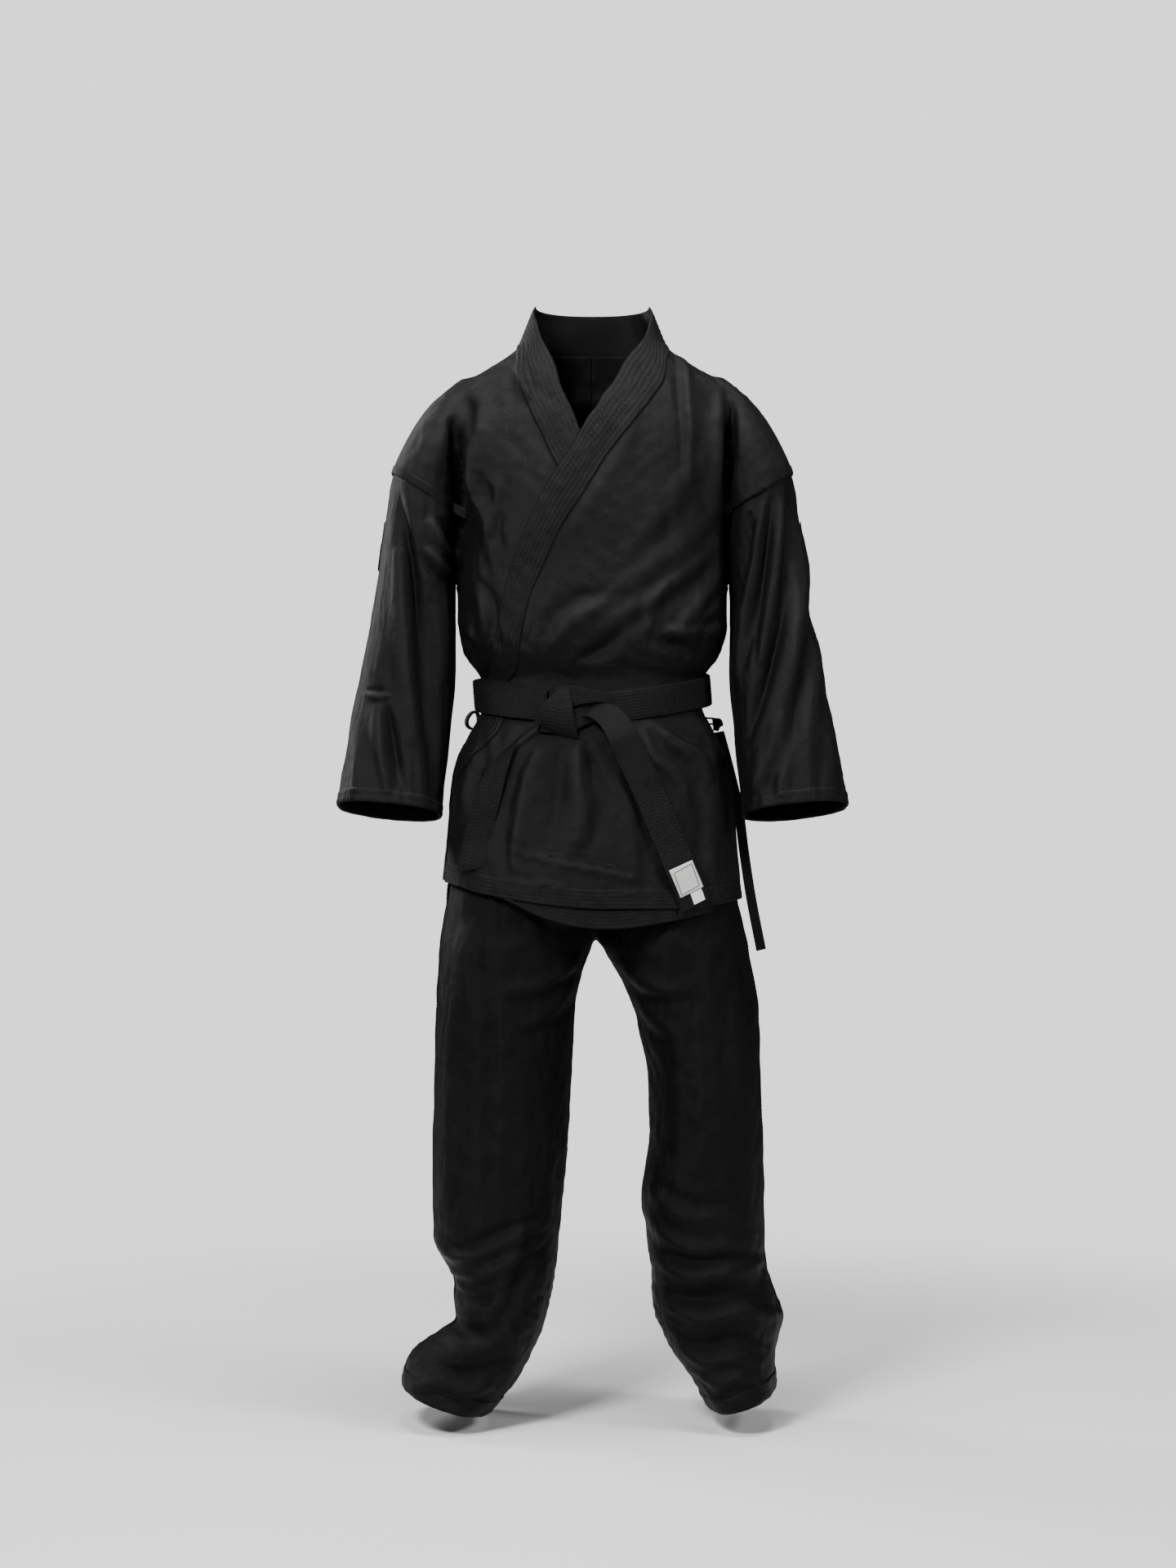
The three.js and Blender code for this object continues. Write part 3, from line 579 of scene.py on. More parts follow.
# Lapel edges, from the collar to the hem, as turn and height
LEFT_LAPEL = {
    "free": [(69, 1488), (46, 1457), (22, 1416), (3, 1386), (-16, 1357), (-33, 1326), (-65, 1275),
             (-91, 1222),
             (-108, 1178), (-119, 1134), (-129, 1090), (-134, 1050)],
    "seam": [(100, 1450), (93, 1418), (72, 1388), (48, 1358), (16, 1317), (-12, 1270), (-43, 1222),
             (-65, 1173),
             (-82, 1134), (-93, 1090), (-98, 1046)]}
LEFT_SKIRT = {"free": [(-70, 1010), (-70, 962), (-72, 940), (-86, 900), (-100, 850), (-108, 640)],
              "seam": [(-46, 1010), (-44, 962), (-46, 942), (-60, 908), (-76, 855), (-88, 640)]}
RIGHT_LAPEL = {
    "free": [(-69, 1488), (-57, 1464), (-47, 1438), (-31, 1394), (-16, 1357), (8, 1304), (45, 1232),
             (78, 1150),
             (98, 1080), (106, 1040), (106, 960), (122, 915), (145, 850), (160, 640)],
    "seam": [(-104, 1450), (-99, 1420), (-76, 1367), (-58, 1328), (-34, 1284), (3, 1210), (38, 1134),
             (57, 1072),
             (65, 1038), (65, 958), (80, 912), (104, 844), (120, 640)]}
COLLAR = {"free": [(88, 1538), (79, 1531), (57, 1513)], "seam": [(88, 1480), (72, 1476), (54, 1465)]}


def turns_across(edge):
    """Tailor's x and height on the front, as turn and height."""
    share = [min(abs(x) / jacket_size(h)[0, 0], 1) ** (ROUND / 2) for x, h in edge]
    return [(math.copysign(math.degrees(math.asin(v)), x), h) for v, (x, h) in zip(share, edge)]


left_edges = {k: COLLAR[k] + turns_across(LEFT_LAPEL[k]) + LEFT_SKIRT[k] for k in ("free", "seam")}
right_edges = {k: [(-t, h) for t, h in COLLAR[k]] + turns_across(RIGHT_LAPEL[k]) for k in ("free", "seam")}


def edge_turn(edges, share, heights):
    """The turn of a line that runs within a lapel, share of the way from its free edge, at each height."""
    free, seam = (smooth_line(edges[k], 400) for k in ("free", "seam"))
    line = free + (seam - free) * share
    order = np.argsort(line[:, 1])
    return np.interp(heights, line[order, 1], line[order, 0])


def face_centres(points, faces):
    return np.array([points[list(f)].mean(0) for f in faces])


centres = face_centres(skin_points, skin_faces)
centre_turn = turn_of(centres)
left_line = edge_turn(left_edges, 0.62, centres[:, 2])
right_line = edge_turn(right_edges, 0.5, centres[:, 2])
wearable = ~((past_armhole(centres) > 0) & (np.abs(centres[:, 0]) > 184) & (centres[:, 2] > 1150)
             & ((np.abs(centres[:, 0]) > 187) | (centres[:, 2] > 1262)))
wearable &= centres[:, 2] < NECK_SEAM
hem_line = LEFT_HEM[0] - LEFT_HEM[1][0] * centres[:, 0]
front_half = centres[:, 1] < BODY_Y
side_strip = (centres[:, 1] > SIDE_SEAMS[0]) & (centres[:, 1] < SIDE_SEAMS[1]) & (centres[:, 2] < 1244) \
    & (centres[:, 2] > SIDE_VENT)
wraps_right = (centre_turn > left_line) & (centres[:, 0] < 0)
masks = {
    "front_left_panel": wearable & ~side_strip & (centres[:, 2] > hem_line)
    & (centre_turn > left_line) & (front_half | (wraps_right & (centres[:, 2] < SIDE_VENT))) & (centre_turn < 120),
    "front_right_panel": wearable & front_half & ~side_strip & (centres[:, 2] > RIGHT_HEM)
    & (centre_turn < right_line),
    "back_left_panel": wearable & ~front_half & ~side_strip & (centres[:, 0] > 0) & (centres[:, 2] > BACK_HEM),
    "back_right_panel": wearable & ~front_half & ~side_strip & (centres[:, 0] < 0) & (centres[:, 2] > BACK_HEM),
    "left_side_panel": wearable & side_strip & (centres[:, 0] > 0),
    "right_side_panel": wearable & side_strip & (centres[:, 0] < 0),
}
FLAT_SIZE = {"front_left_panel": (0.46, 0.77), "front_right_panel": (0.40, 0.80),
             "back_left_panel": (0.30, 0.78),
             "back_right_panel": (0.30, 0.78), "left_side_panel": (0.06, 0.31),
             "right_side_panel": (0.06, 0.31)}
WRAP_LIFT, CLOTH_THICK = 3.4, 1.3
jacket_pieces = {}


def walled(piece, thick, offset=-1.0):
    """Gives cloth its thickness and keeps it, as plain mesh."""
    wall = piece.modifiers.new("wall", "SOLIDIFY")
    wall.thickness, wall.offset, wall.use_even_offset = thick / 1000, offset, False
    graph = bpy.context.evaluated_depsgraph_get()
    made = bpy.data.meshes.new_from_object(piece.evaluated_get(graph))
    piece.modifiers.clear()
    piece.data = made
    made.polygons.foreach_set("use_smooth", [True] * len(made.polygons))
    return piece


def skin_piece(name, points, faces, crest, material, thick):
    """A piece cut out of a skin, with only the points its faces use."""
    used = np.unique(np.concatenate([list(f) for f in faces]))
    place = np.full(used.max() + 1, -1)
    place[used] = np.arange(len(used))
    piece = mesh_piece(name, in_frame(points[used]), [place[list(f)] for f in faces], material, crest[used])
    return walled(piece, thick)


for name, mask in masks.items():
    shape = skin_shape.copy()
    for panel, line, cut in (("front_left_panel", LEFT_HEM_LINE,
                              LEFT_HEM[0] - LEFT_HEM[1][0] * skin_points[:, 0]),
                             ("front_right_panel", RIGHT_HEM_LINE, RIGHT_HEM)):
        if name == panel:
            near = 1 - smooth_between(skin_points[:, 2] - cut, 0, 120)
            skin_move = (hem_height(line, skin_points) - cut) * near
            shape[:, 2] += skin_move
    if name == "front_left_panel":
        cover = 1 - smooth_between(skin_turn, 58, 86) * smooth_between(skin_points[:, 2], 900, 960)
        shape = shape + skin_normals * (WRAP_LIFT * cover)[:, None]
    if name.startswith("back"):
        below = smooth_between(-skin_points[:, 2], -940, -880)
        shape = skin_shape - skin_normals * (1.5 * below * (np.abs(skin_points[:, 1] - BODY_Y) < 90))[:, None]
    faces = [f for f, keep in zip(skin_faces, mask) if keep]
    piece = skin_piece(name + "_cloth", shape, faces, skin_fold_tone, DRILL, CLOTH_THICK)
    jacket_pieces[name] = piece
    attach(piece, "jacket")
    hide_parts(name)

# ---------------------------------------------------------------- lapels and collar
# A folded band of the same drill, quilted with seven rows of stitching that pucker it.
BAND_THICK, LAPEL_ROWS = 3.0, 7
below_collar = centres[:, 2] < NECK_SEAM - 4
skin_tree = BVHTree.FromPolygons([Vector(p) for p in skin_shape],
                                 [tuple(map(int, f)) for f, keep in zip(skin_faces, below_collar) if keep])


def laid_on(points, normals, off):
    """Points in mm laid on the jacket's folds, lifted off it by a distance."""
    made = np.array(points, float)
    for i, (point, normal, lift) in enumerate(zip(points, normals, np.broadcast_to(off, len(points)))):
        start, aim = Vector(point + normal * 45), Vector(-normal)
        hit = skin_tree.ray_cast(start, aim, 85)[0]
        base = np.array(hit) if hit is not None else point
        made[i] = base + normal * lift
    return made


def body_normals(turn, h):
    a, b = on_jacket(turn + 0.6, h), on_jacket(turn - 0.6, h)
    c, d = on_jacket(turn, h + 3), on_jacket(turn, h - 3)
    normal = np.cross(a - b, c - d)
    return normal / np.linalg.norm(normal, axis=1, keepdims=True)


def calm(grid, times):
    """Evens out a grid of points along its length."""
    for _ in range(times):
        grid[1:-1] = 0.5 * grid[1:-1] + 0.25 * (grid[:-2] + grid[2:])
    return grid


def lapel(name, edges, off, seed, rows=LAPEL_ROWS, hem=None, step=1.7, columns=34):
    """A quilted band between two edges on the jacket, finished at its hem."""
    free, seam = (smooth_line(edges[k], 600) for k in ("free", "seam"))
    length = np.linalg.norm(np.diff(on_jacket(free[:, 0], free[:, 1]), axis=0), axis=1).sum()
    count = int(length / step)
    free, seam = (smooth_line(edges[k], count) for k in ("free", "seam"))
    spread = np.linspace(-1, 1, columns)
    share = (spread + 1) / 2
    turn = free[:, None, 0] + (seam - free)[:, None, 0] * share
    height = free[:, None, 1] + (seam - free)[:, None, 1] * share
    if hem is not None:
        plain = on_jacket(turn.ravel(), height.ravel())
        floor = hem(plain).reshape(turn.shape)
        keep = (height > floor).all(axis=1)
        last = int(np.argmax(~keep)) if (~keep).any() else count
        turn, height, floor = turn[:last], height[:last], floor[:last]
        height[-1] = floor[-1] + 0.2
        count = last
    flat_turn, flat_height = turn.ravel(), height.ravel()
    base, normal = on_jacket(flat_turn, flat_height), body_normals(flat_turn, flat_height)
    lift = off * (1 - smooth_between(flat_turn, 50, 84) * smooth_between(flat_height, 1300, 1400))
    grid = calm(laid_on(base, normal, lift).reshape(count, columns, 3), 3)
    normal = normal.reshape(count, columns, 3)
    along = np.arange(count)[:, None] * step + 0 * spread[None]
    face = pressed_rows(spread[None] + 0 * along, along, rows, 0.6, 0.65, seed)
    edge = np.sqrt(np.clip(1 - np.abs(spread) ** 10, 0, 1)) * 0.85 + 0.15
    top = grid + normal * (BAND_THICK * edge[None] + face)[..., None]
    loop = np.concatenate([top, (grid + normal * 0.2)[:, ::-1]], axis=1)
    n, m = loop.shape[:2]
    ids = np.arange(n * m).reshape(n, m)
    faces = [(ids[i, j], ids[i + 1, j], ids[i + 1, (j + 1) % m], ids[i, (j + 1) % m])
             for i in range(n - 1) for j in range(m)]
    faces += [tuple(ids[0]), tuple(ids[-1][::-1])]
    # Tone from the stitched rows: painted shade in the grooves, lighter on the puckers.
    crest = np.clip(0.38 + 0.5 * face, 0, 1)
    crest = np.concatenate([crest, crest[:, ::-1]], axis=1).ravel()
    piece = outward(mesh_piece(name, in_frame(loop.reshape(-1, 3)), faces, BAND, crest))
    return piece, top, normal


def left_hem_height(points):
    return hem_height(LEFT_HEM_LINE, points)


def right_hem_height(points):
    return hem_height(RIGHT_HEM_LINE, points)


left_lapel, left_top, left_face = lapel("left_lapel_band", left_edges, WRAP_LIFT, 21,
                                        hem=left_hem_height)
right_lapel, right_top, right_face = lapel("right_lapel_band", right_edges, 0.0, 22,
                                           hem=right_hem_height)
back_edges = {"free": [(turn, 1539 - 3 * math.sin(math.radians(turn - 88))) for turn in range(86, 275, 4)],
              "seam": [(turn, 1480 - 2 * math.sin(math.radians(turn - 88))) for turn in range(86, 275, 4)]}
neck_band, neck_top, neck_face = lapel("neck_band_quilted", back_edges, 0.0, 23)
for piece, cad in ((left_lapel, "left_lapel"), (right_lapel, "right_lapel"), (neck_band, "neck_band")):
    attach(piece, "jacket")
    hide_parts(cad)

# ---------------------------------------------------------------- sleeves
# Wide tubes sewn to the drop shoulder, falling in long folds to an open, turned-up cuff.
CUFF = {"point": (278, -46, 843), "along": (0.1, -0.19, -0.975), "hem": 20}
ARM_COLUMNS, ARM_ROWS = 200, 230
LEFT_ARM_FOLDS = [
    ([(272, 1296), (268, 1220), (262, 1130), (240, 1040), (206, 930)], -9.0, 8, 0),
    ([(289, 1240), (284, 1150), (268, 1040), (240, 930), (216, 868)], 8.0, 13, 1),
    ([(246, 1275), (236, 1220), (222, 1140), (204, 1030)], -8.0, 8, 0),
    ([(232, 1262), (222, 1180), (208, 1100), (196, 1010)], 5.0, 8, -1),
    ([(258, 1270), (252, 1200), (240, 1120), (228, 1040)], 4.5, 8, -1),
    ([(214, 1250), (206, 1180), (198, 1120)], -5.0, 8, 0),
    ([(302, 1100), (300, 1010), (290, 930), (285, 860)], 4.0, 14, 1),
    ([(262, 980), (258, 920), (255, 860)], 4.5, 12, -1),
    ([(320, 990), (318, 930), (322, 860)], 3.5, 12, 1),
]
RIGHT_ARM_FOLDS = [
    ([(-270, 1290), (-256, 1220), (-240, 1140), (-226, 1040), (-214, 920), (-212, 850)], -11.0, 10, 0),
    ([(-262, 1200), (-258, 1120), (-250, 1020), (-240, 930)], 6.0, 13, 1),
    ([(-222, 1240), (-208, 1205), (-196, 1190)], 5.0, 8, 1),
    ([(-226, 1200), (-206, 1172), (-194, 1166)], 5.0, 7, -1),
    ([(-206, 1150), (-204, 1090), (-200, 1020)], 4.0, 8, -1),
    ([(-280, 985), (-270, 930), (-252, 866)], -6.0, 8, 0),
    ([(-290, 990), (-285, 930), (-275, 866)], 5.0, 10, 1),
    ([(-310, 1002), (-290, 998), (-272, 1000)], 2.5, 5, 1),
    ([(-322, 980), (-318, 920), (-320, 866)], 3.0, 12, -1),
]
REAR_ARM_FOLDS = [
    ([(236, 1280), (240, 1180), (250, 1060), (262, 900)], 6.0, 13, 1),
    ([(206, 1230), (214, 1140), (226, 1020), (236, 900)], -6.0, 10, 0),
    ([(270, 1240), (280, 1100), (292, 980), (304, 870)], 5.0, 13, -1),
    ([(210, 1190), (240, 1170), (262, 1176)], 4.0, 8, 1),
]
cuff_along = np.array(CUFF["along"]) / np.linalg.norm(CUFF["along"])


def tube_grid(size, side, columns, rows, start, finish):
    """A structured tube between two heights that vary round it; returns points and outward normals."""
    angle = np.linspace(0, 2 * math.pi, columns, endpoint=False)

    def ring(heights):
        made = size(heights)
        return np.column_stack([side * (made[:, 0] + made[:, 2] * curved(np.cos(angle), 2 / ARM_ROUND)),
                                made[:, 1] + made[:, 3] * curved(np.sin(angle), 2 / ARM_ROUND), heights])

    def settle(level, guess):
        heights = np.full(columns, float(guess))
        for _ in range(9):
            heights = level(ring(heights))
        return heights

    top, bottom = settle(*start), settle(*finish)
    grid = np.array([ring(top + (bottom - top) * t) for t in np.linspace(0, 1, rows)])
    across = np.roll(grid, -1, axis=1) - np.roll(grid, 1, axis=1)
    down = np.gradient(grid, axis=0)
    normal = np.cross(across, down) * -side
    middle = grid.mean(axis=1, keepdims=True)
    normal /= np.linalg.norm(normal, axis=2, keepdims=True) + 1e-9
    if ((grid - middle) * normal).sum() < 0:
        normal = -normal
    return grid, normal


def tube_faces(rows, columns):
    ids = np.arange(rows * columns).reshape(rows, columns)
    return [(ids[i, j], ids[i + 1, j], ids[i + 1, (j + 1) % columns], ids[i, (j + 1) % columns])
            for i in range(rows - 1) for j in range(columns)]


def hem_ring(name, grid, normal, share, rows, material, seed, thick=1.6, puckers=0.5, stretch=1.0):
    """A turned-up hem round the last part of a tube, with stitch rows and short cross puckers."""
    first = int(round(grid.shape[0] * (1 - share)))
    base, face = grid[first:], normal[first:]
    n, m = base.shape[:2]
    around = np.concatenate([[0], np.cumsum(np.linalg.norm(np.diff(base[n // 2], axis=0), axis=1))])
    across = np.linspace(-1, 1, n)
    high = pressed_rows(across[:, None] + 0 * around[None], around[None] + 0 * across[:, None], rows, 0.4,
                        puckers, seed)
    edge = np.sqrt(np.clip(1 - np.abs(across) ** 8, 0, 1))
    outer = base + face * ((0.3 + thick * edge)[:, None] + high)[..., None]
    inner = base - face * (CLOTH_THICK + 0.3 + 0.8 * thick * edge)[:, None, None]
    tip = grid[-1] + (grid[-1] - grid[-2]) / np.linalg.norm(grid[-1] - grid[-2], axis=1, keepdims=True) * 0.8
    loop = np.concatenate([outer, tip[None] , inner[::-1]], axis=0)
    k = len(loop)
    ids = np.arange(k * m).reshape(k, m)
    faces = [(ids[i, j], ids[(i + 1) % k, j], ids[(i + 1) % k, (j + 1) % m], ids[i, (j + 1) % m])
             for i in range(k) for j in range(m)]
    # Painted shade: the stitch grooves are darker and the hem's inner face takes the darkest tone, inside the tube;
    # the puckers are lighter.
    crest = np.clip(0.35 + 0.5 * high, 0, 1)
    crest = np.concatenate([crest, crest[-1:], 0 * crest], axis=0).ravel()
    return outward(mesh_piece(name, in_frame(loop.reshape(-1, 3)), faces, material, crest))


sleeves = {}
for side, name, folds in ((1, "left", LEFT_ARM_FOLDS), (-1, "right", RIGHT_ARM_FOLDS)):
    armhole = (lambda p: ARMHOLE["h"] + 9 + (np.abs(p[:, 0]) - ARMHOLE["x"]) * slope[1] / slope[0], 1290)
    cuff = (lambda p: CUFF["point"][2] - ((np.abs(p[:, 0]) - CUFF["point"][0]) * cuff_along[0]
                                          + (p[:, 1] - CUFF["point"][1]) * cuff_along[1]) / cuff_along[2], 843)
    grid, normal = tube_grid(sleeve_size, side, ARM_COLUMNS, ARM_ROWS, armhole, cuff)
    flat, facing = grid.reshape(-1, 3), normal.reshape(-1, 3)
    front = smooth_between(-facing[:, 1], -0.35, 0.25)
    rear = smooth_between(facing[:, 1], -0.35, 0.25)
    mirrored = [([(side * x, h) for x, h in line], rise, width, side * lean)
                for line, rise, width, lean in REAR_ARM_FOLDS]
    lift = fold_height(flat, folds, front) + fold_height(flat, mirrored, rear)
    lift += 1.6 * cloth_noise(flat, (1.0, 1.0, 6), 31 + side, size=60.0)
    lift += 0.35 * cloth_noise(flat, (0.7, 0.7, 1.2), 35 + side, size=30.0)
    lift += 0.35 * crumple(flat, (1.0, 1.0, 2.2), 63 + side)
    seam_calm = np.repeat(smooth_between(np.linspace(0, 1, ARM_ROWS), 0.0, 0.07), ARM_COLUMNS)
    room = np.where(np.abs(flat[:, 0]) < 196, 0.25, 1.0)
    lift = lift * (0.15 + 0.85 * seam_calm) * np.where(lift > 0, room, 1.0) - 1.6 * (1 - seam_calm)
    inner = smooth_between(-facing[:, 0] * side, 0.3, 0.8) * smooth_between(flat[:, 2], 960, 1040)
    shape = flat + facing * (lift + 3.0 * inner)[:, None]
    # Tone from the folds: painted shade in the valleys, rubbed colour with painted highlight on the crests.
    crest = np.clip(0.3 + lift / 16, 0, 1)
    shaped = shape.reshape(ARM_ROWS, ARM_COLUMNS, 3)
    sleeve = mesh_piece(f"{name}_sleeve_cloth", in_frame(shape), tube_faces(ARM_ROWS, ARM_COLUMNS), DRILL,
                        crest)
    walled(outward(sleeve), CLOTH_THICK)
    cuff_hem = hem_ring(f"{name}_cuff_hem_band", shaped, normal, 0.042, 1, DRILL, 41 + side, thick=0.9,
                        puckers=0.7)
    sleeves[name] = (sleeve, cuff_hem, shaped, normal)
    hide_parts(f"{name}_sleeve", f"{name}_sleeve_head")
    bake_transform(sleeve)
    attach(cuff_hem, f"{name}_sleeve")
    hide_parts(f"{name}_cuff_hem")

# ---------------------------------------------------------------- trousers
# Loose straight legs that drop from the seat, break at the knee and stack on the instep.
SEAT = [(660, 192, 92), (668, 194, 96), (690, 199, 114), (740, 196, 116), (800, 184, 116), (900, 162, 112),
        (950, 138, 96),
        (1012, 136, 94)]
LEFT_LEG = [(760, 96, 2, 92, 108), (720, 101, 2, 99, 110), (690, 102, 2, 104, 110), (662, 111, 0, 103, 112),
            (636, 122, 0, 96, 112),
            (576, 143, 0, 86, 108),
            (486, 154, 0, 77, 104), (384, 157, 0, 78, 98), (316, 151, 0, 85, 94), (210, 160, 2, 78, 92),
            (150, 176, 2, 90, 93), (102, 180, 0, 72, 98), (57, 196, -2, 56, 106), (5, 212, -4, 42, 110)]
RIGHT_LEG = [(760, 96, 2, 92, 108), (720, 98, 2, 101, 110), (690, 96, 2, 108, 110), (662, 104, 0, 105, 112),
             (636, 110, 0, 100, 112),
             (576, 120, 0, 95, 108),
             (384, 127, 0, 93, 98), (249, 132, 0, 85, 92), (203, 121, 2, 69, 92), (135, 127, 2, 60, 94),
             (98, 168, 0, 85, 99), (57, 184, -2, 79, 104), (5, 205, -4, 52, 108)]
LEG_FOLDS = [
    # wearer's right leg
    ([(-214, 262), (-190, 238), (-150, 246), (-100, 270), (-62, 282)], 8.0, 9, 1),
    ([(-196, 214), (-150, 214), (-110, 236), (-66, 262)], 6.0, 8, -1),
    ([(-200, 190), (-160, 180), (-120, 196), (-76, 226)], -5.0, 8, 0),
    ([(-96, 296), (-108, 240), (-130, 180), (-150, 140)], 6.5, 11, 1),
    ([(-240, 120), (-205, 128), (-170, 118), (-130, 122)], 7.0, 11, 1),
    ([(-246, 84), (-215, 96), (-180, 84), (-140, 92), (-104, 108)], -6.0, 9, 0),
    ([(-236, 62), (-205, 72), (-168, 60), (-130, 70)], 5.5, 9, -1),
    ([(-120, 150), (-104, 110), (-118, 70)], 4.0, 10, 1),
    ([(-200, 560), (-196, 460), (-200, 360), (-204, 290)], 3.0, 12, 1),
    ([(-120, 640), (-118, 520), (-124, 400), (-122, 310)], 3.0, 12, -1),
    ([(-20, 640), (-70, 610), (-120, 600)], 5.0, 10, 1),
    ([(-24, 610), (-60, 572), (-96, 552)], 3.5, 10, 1),
    ([(-60, 690), (-100, 668), (-150, 660)], 3.0, 12, -1),
    ([(-170, 690), (-176, 640), (-170, 580)], 3.0, 12, 1),
    # wearer's left leg
    ([(78, 330), (110, 300), (150, 292), (200, 300)], 4.0, 12, 1),
    ([(72, 300), (104, 262), (150, 250), (210, 262)], 5.0, 11, -1),
    ([(84, 232), (130, 214), (180, 218), (236, 226)], 7.0, 12, 1),
    ([(86, 196), (130, 186), (190, 194), (240, 190)], -7.0, 10, 0),
    ([(96, 170), (150, 158), (210, 164), (260, 150)], 7.5, 11, 1),
    ([(110, 136), (150, 124), (190, 132), (252, 118)], -5.5, 8, 0),
    ([(116, 112), (150, 100), (186, 104), (236, 92)], 6.0, 9, 1),
    ([(132, 84), (166, 72), (206, 80), (240, 66)], 5.0, 8, -1),
    ([(150, 640), (152, 540), (156, 440), (154, 350)], 3.0, 13, 1),
    ([(36, 640), (80, 606), (130, 600)], 5.0, 10, -1),
    ([(50, 600), (84, 560), (110, 540)], 3.5, 10, -1),
    ([(196, 600), (200, 500), (204, 400)], 2.6, 12, -1),
    ([(90, 690), (130, 664), (176, 660)], 3.0, 12, 1),
]
REAR_LEG_FOLDS = [
    ([(60, 690), (110, 662), (170, 660)], 6.0, 12, 1),
    ([(40, 650), (80, 610), (130, 600)], 5.0, 11, 1),
    ([(80, 450), (130, 430), (190, 446)], 5.0, 12, -1),
    ([(84, 390), (140, 366), (200, 386)], 6.0, 12, 1),
    ([(90, 300), (150, 292), (206, 310)], 4.0, 12, -1),
    ([(90, 200), (150, 186), (220, 204)], 6.0, 12, 1),
    ([(100, 150), (160, 138), (226, 150)], -5.0, 10, 0),
    ([(120, 104), (170, 92), (230, 104)], 6.0, 10, -1),
]
FOOT = {"x": 210, "h": 38, "lean": 0.3, "hem": 25}
TROUSER_DRILL = cloth("black_trouser_drill", (0.0005, 0.0006, 0.0010), (0.0026, 0.0026, 0.0028),
                      creases=0.003,
                      roughness=0.5, specular=0.085, sheen=0.004)
leg_sizes = {1: eased(LEFT_LEG, blur=8.0), -1: eased(RIGHT_LEG, blur=8.0)}
seat_size = eased(SEAT, blur=8.0)


def seat_ring(h, count=120):
    wide, deep = seat_size(h)[0]
    angle = np.linspace(0, 2 * math.pi, count, endpoint=False)
    return np.column_stack([wide * curved(np.sin(angle), 2 / ROUND),
                            BODY_Y - deep * curved(np.cos(angle), 2 / ROUND),
                            np.full(count, h)])


leg_forms = [tube_form([seat_ring(h) for h in range(694, 1016, 6)])]
for side in (1, -1):
    leg_forms.append(tube_form([limb_ring(leg_sizes[side], h, side) for h in range(6, 760, 6)]))
leg_skin = one_skin("trouser_skin", leg_forms, VOXEL, 7)
LEG_TOP, WAIST, CROTCH_X = 757, 1008, 5
leg_planes = [((0, 0, WAIST), (0, 0, 1)), ((0, 0, LEG_TOP), (0, 0, 1)), ((CROTCH_X, 0, 0), (1, 0, 0)),
              ((0, BODY_Y, 0), (0, 1, 0))]
for side in (1, -1):
    leg_planes.append(((side * FOOT["x"], 0, FOOT["h"]), (-side * FOOT["lean"], 0, 1)))
leg_points, leg_normals, leg_faces = cut_planes(leg_skin, leg_planes)
leg_front = smooth_between(-leg_normals[:, 1], -0.3, 0.3)
leg_rear = smooth_between(leg_normals[:, 1], -0.3, 0.3)
both_rear = REAR_LEG_FOLDS + [([(-x, h - 14) for x, h in line], rise, width, -lean)
                              for line, rise, width, lean in REAR_LEG_FOLDS]
leg_lift = fold_height(leg_points, LEG_FOLDS, leg_front, 1.1) + fold_height(leg_points, both_rear, leg_rear,
                                                                            1.0)
low = smooth_between(-leg_points[:, 2], -330, -180)
leg_lift += 1.6 * cloth_noise(leg_points, (1, 1, 3.2), 51) * (1 - low) + 2.4 * cloth_noise(leg_points,
                                                                                           (2.2, 1.6, 0.9),
                                                                                           52) * low
leg_lift += 0.6 * cloth_noise(leg_points, (1, 1, 1.4), 53, size=26.0) + 0.6 * crumple(leg_points, (1, 1, 1.8),
                                                                                      65)
leg_lift *= 1 - 0.8 * smooth_between(leg_points[:, 2], 740, 800)
leg_shape = leg_points + leg_normals * leg_lift[:, None]
# Tone from the folds: painted shade in the valleys, rubbed colour with painted highlight on the crests.
leg_fold_tone = np.clip(0.25 + leg_lift / 16, 0, 1)
leg_centres = face_centres(leg_points, leg_faces)


def foot_line(points):
    return FOOT["h"] + FOOT["lean"] * (np.abs(points[:, 0]) - FOOT["x"])


on_side = {1: leg_centres[:, 0] > CROTCH_X, -1: leg_centres[:, 0] < CROTCH_X}
leg_down = (leg_centres[:, 2] < LEG_TOP) & (leg_centres[:, 2] > foot_line(leg_centres))
front_leg = leg_centres[:, 1] < BODY_Y
for side, name in ((1, "left"), (-1, "right")):
    for half, mask in (("front", front_leg), ("back", ~front_leg)):
        faces = [f for f, keep in zip(leg_faces, leg_down & on_side[side] & mask) if keep]
        piece = skin_piece(f"{name}_leg_{half}_cloth", leg_shape, faces, leg_fold_tone, TROUSER_DRILL,
                           CLOTH_THICK)
        cads = [f"{name}_leg_{half}"] + ([f"{name}_thigh_fold"] if half == "front" else [])
        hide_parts(*cads)
        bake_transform(piece)
seat_faces = [f for f, keep in zip(leg_faces, (leg_centres[:, 2] > LEG_TOP) & (leg_centres[:, 2] < 984) & front_leg)
              if keep]
seat_front = skin_piece("trouser_seat_front", leg_shape, seat_faces, leg_fold_tone, TROUSER_DRILL, CLOTH_THICK)
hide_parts("trouser_front_rise", "crotch_gusset")
seat_faces = [f for f, keep in zip(leg_faces, (leg_centres[:, 2] > LEG_TOP) & (leg_centres[:, 2] < 984) & ~front_leg)
              if keep]
seat_back = skin_piece("trouser_seat_back", leg_shape, seat_faces, leg_fold_tone, TROUSER_DRILL, CLOTH_THICK)
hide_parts("trouser_back_rise")
for piece in (seat_front, seat_back):
    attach(piece, "jacket")

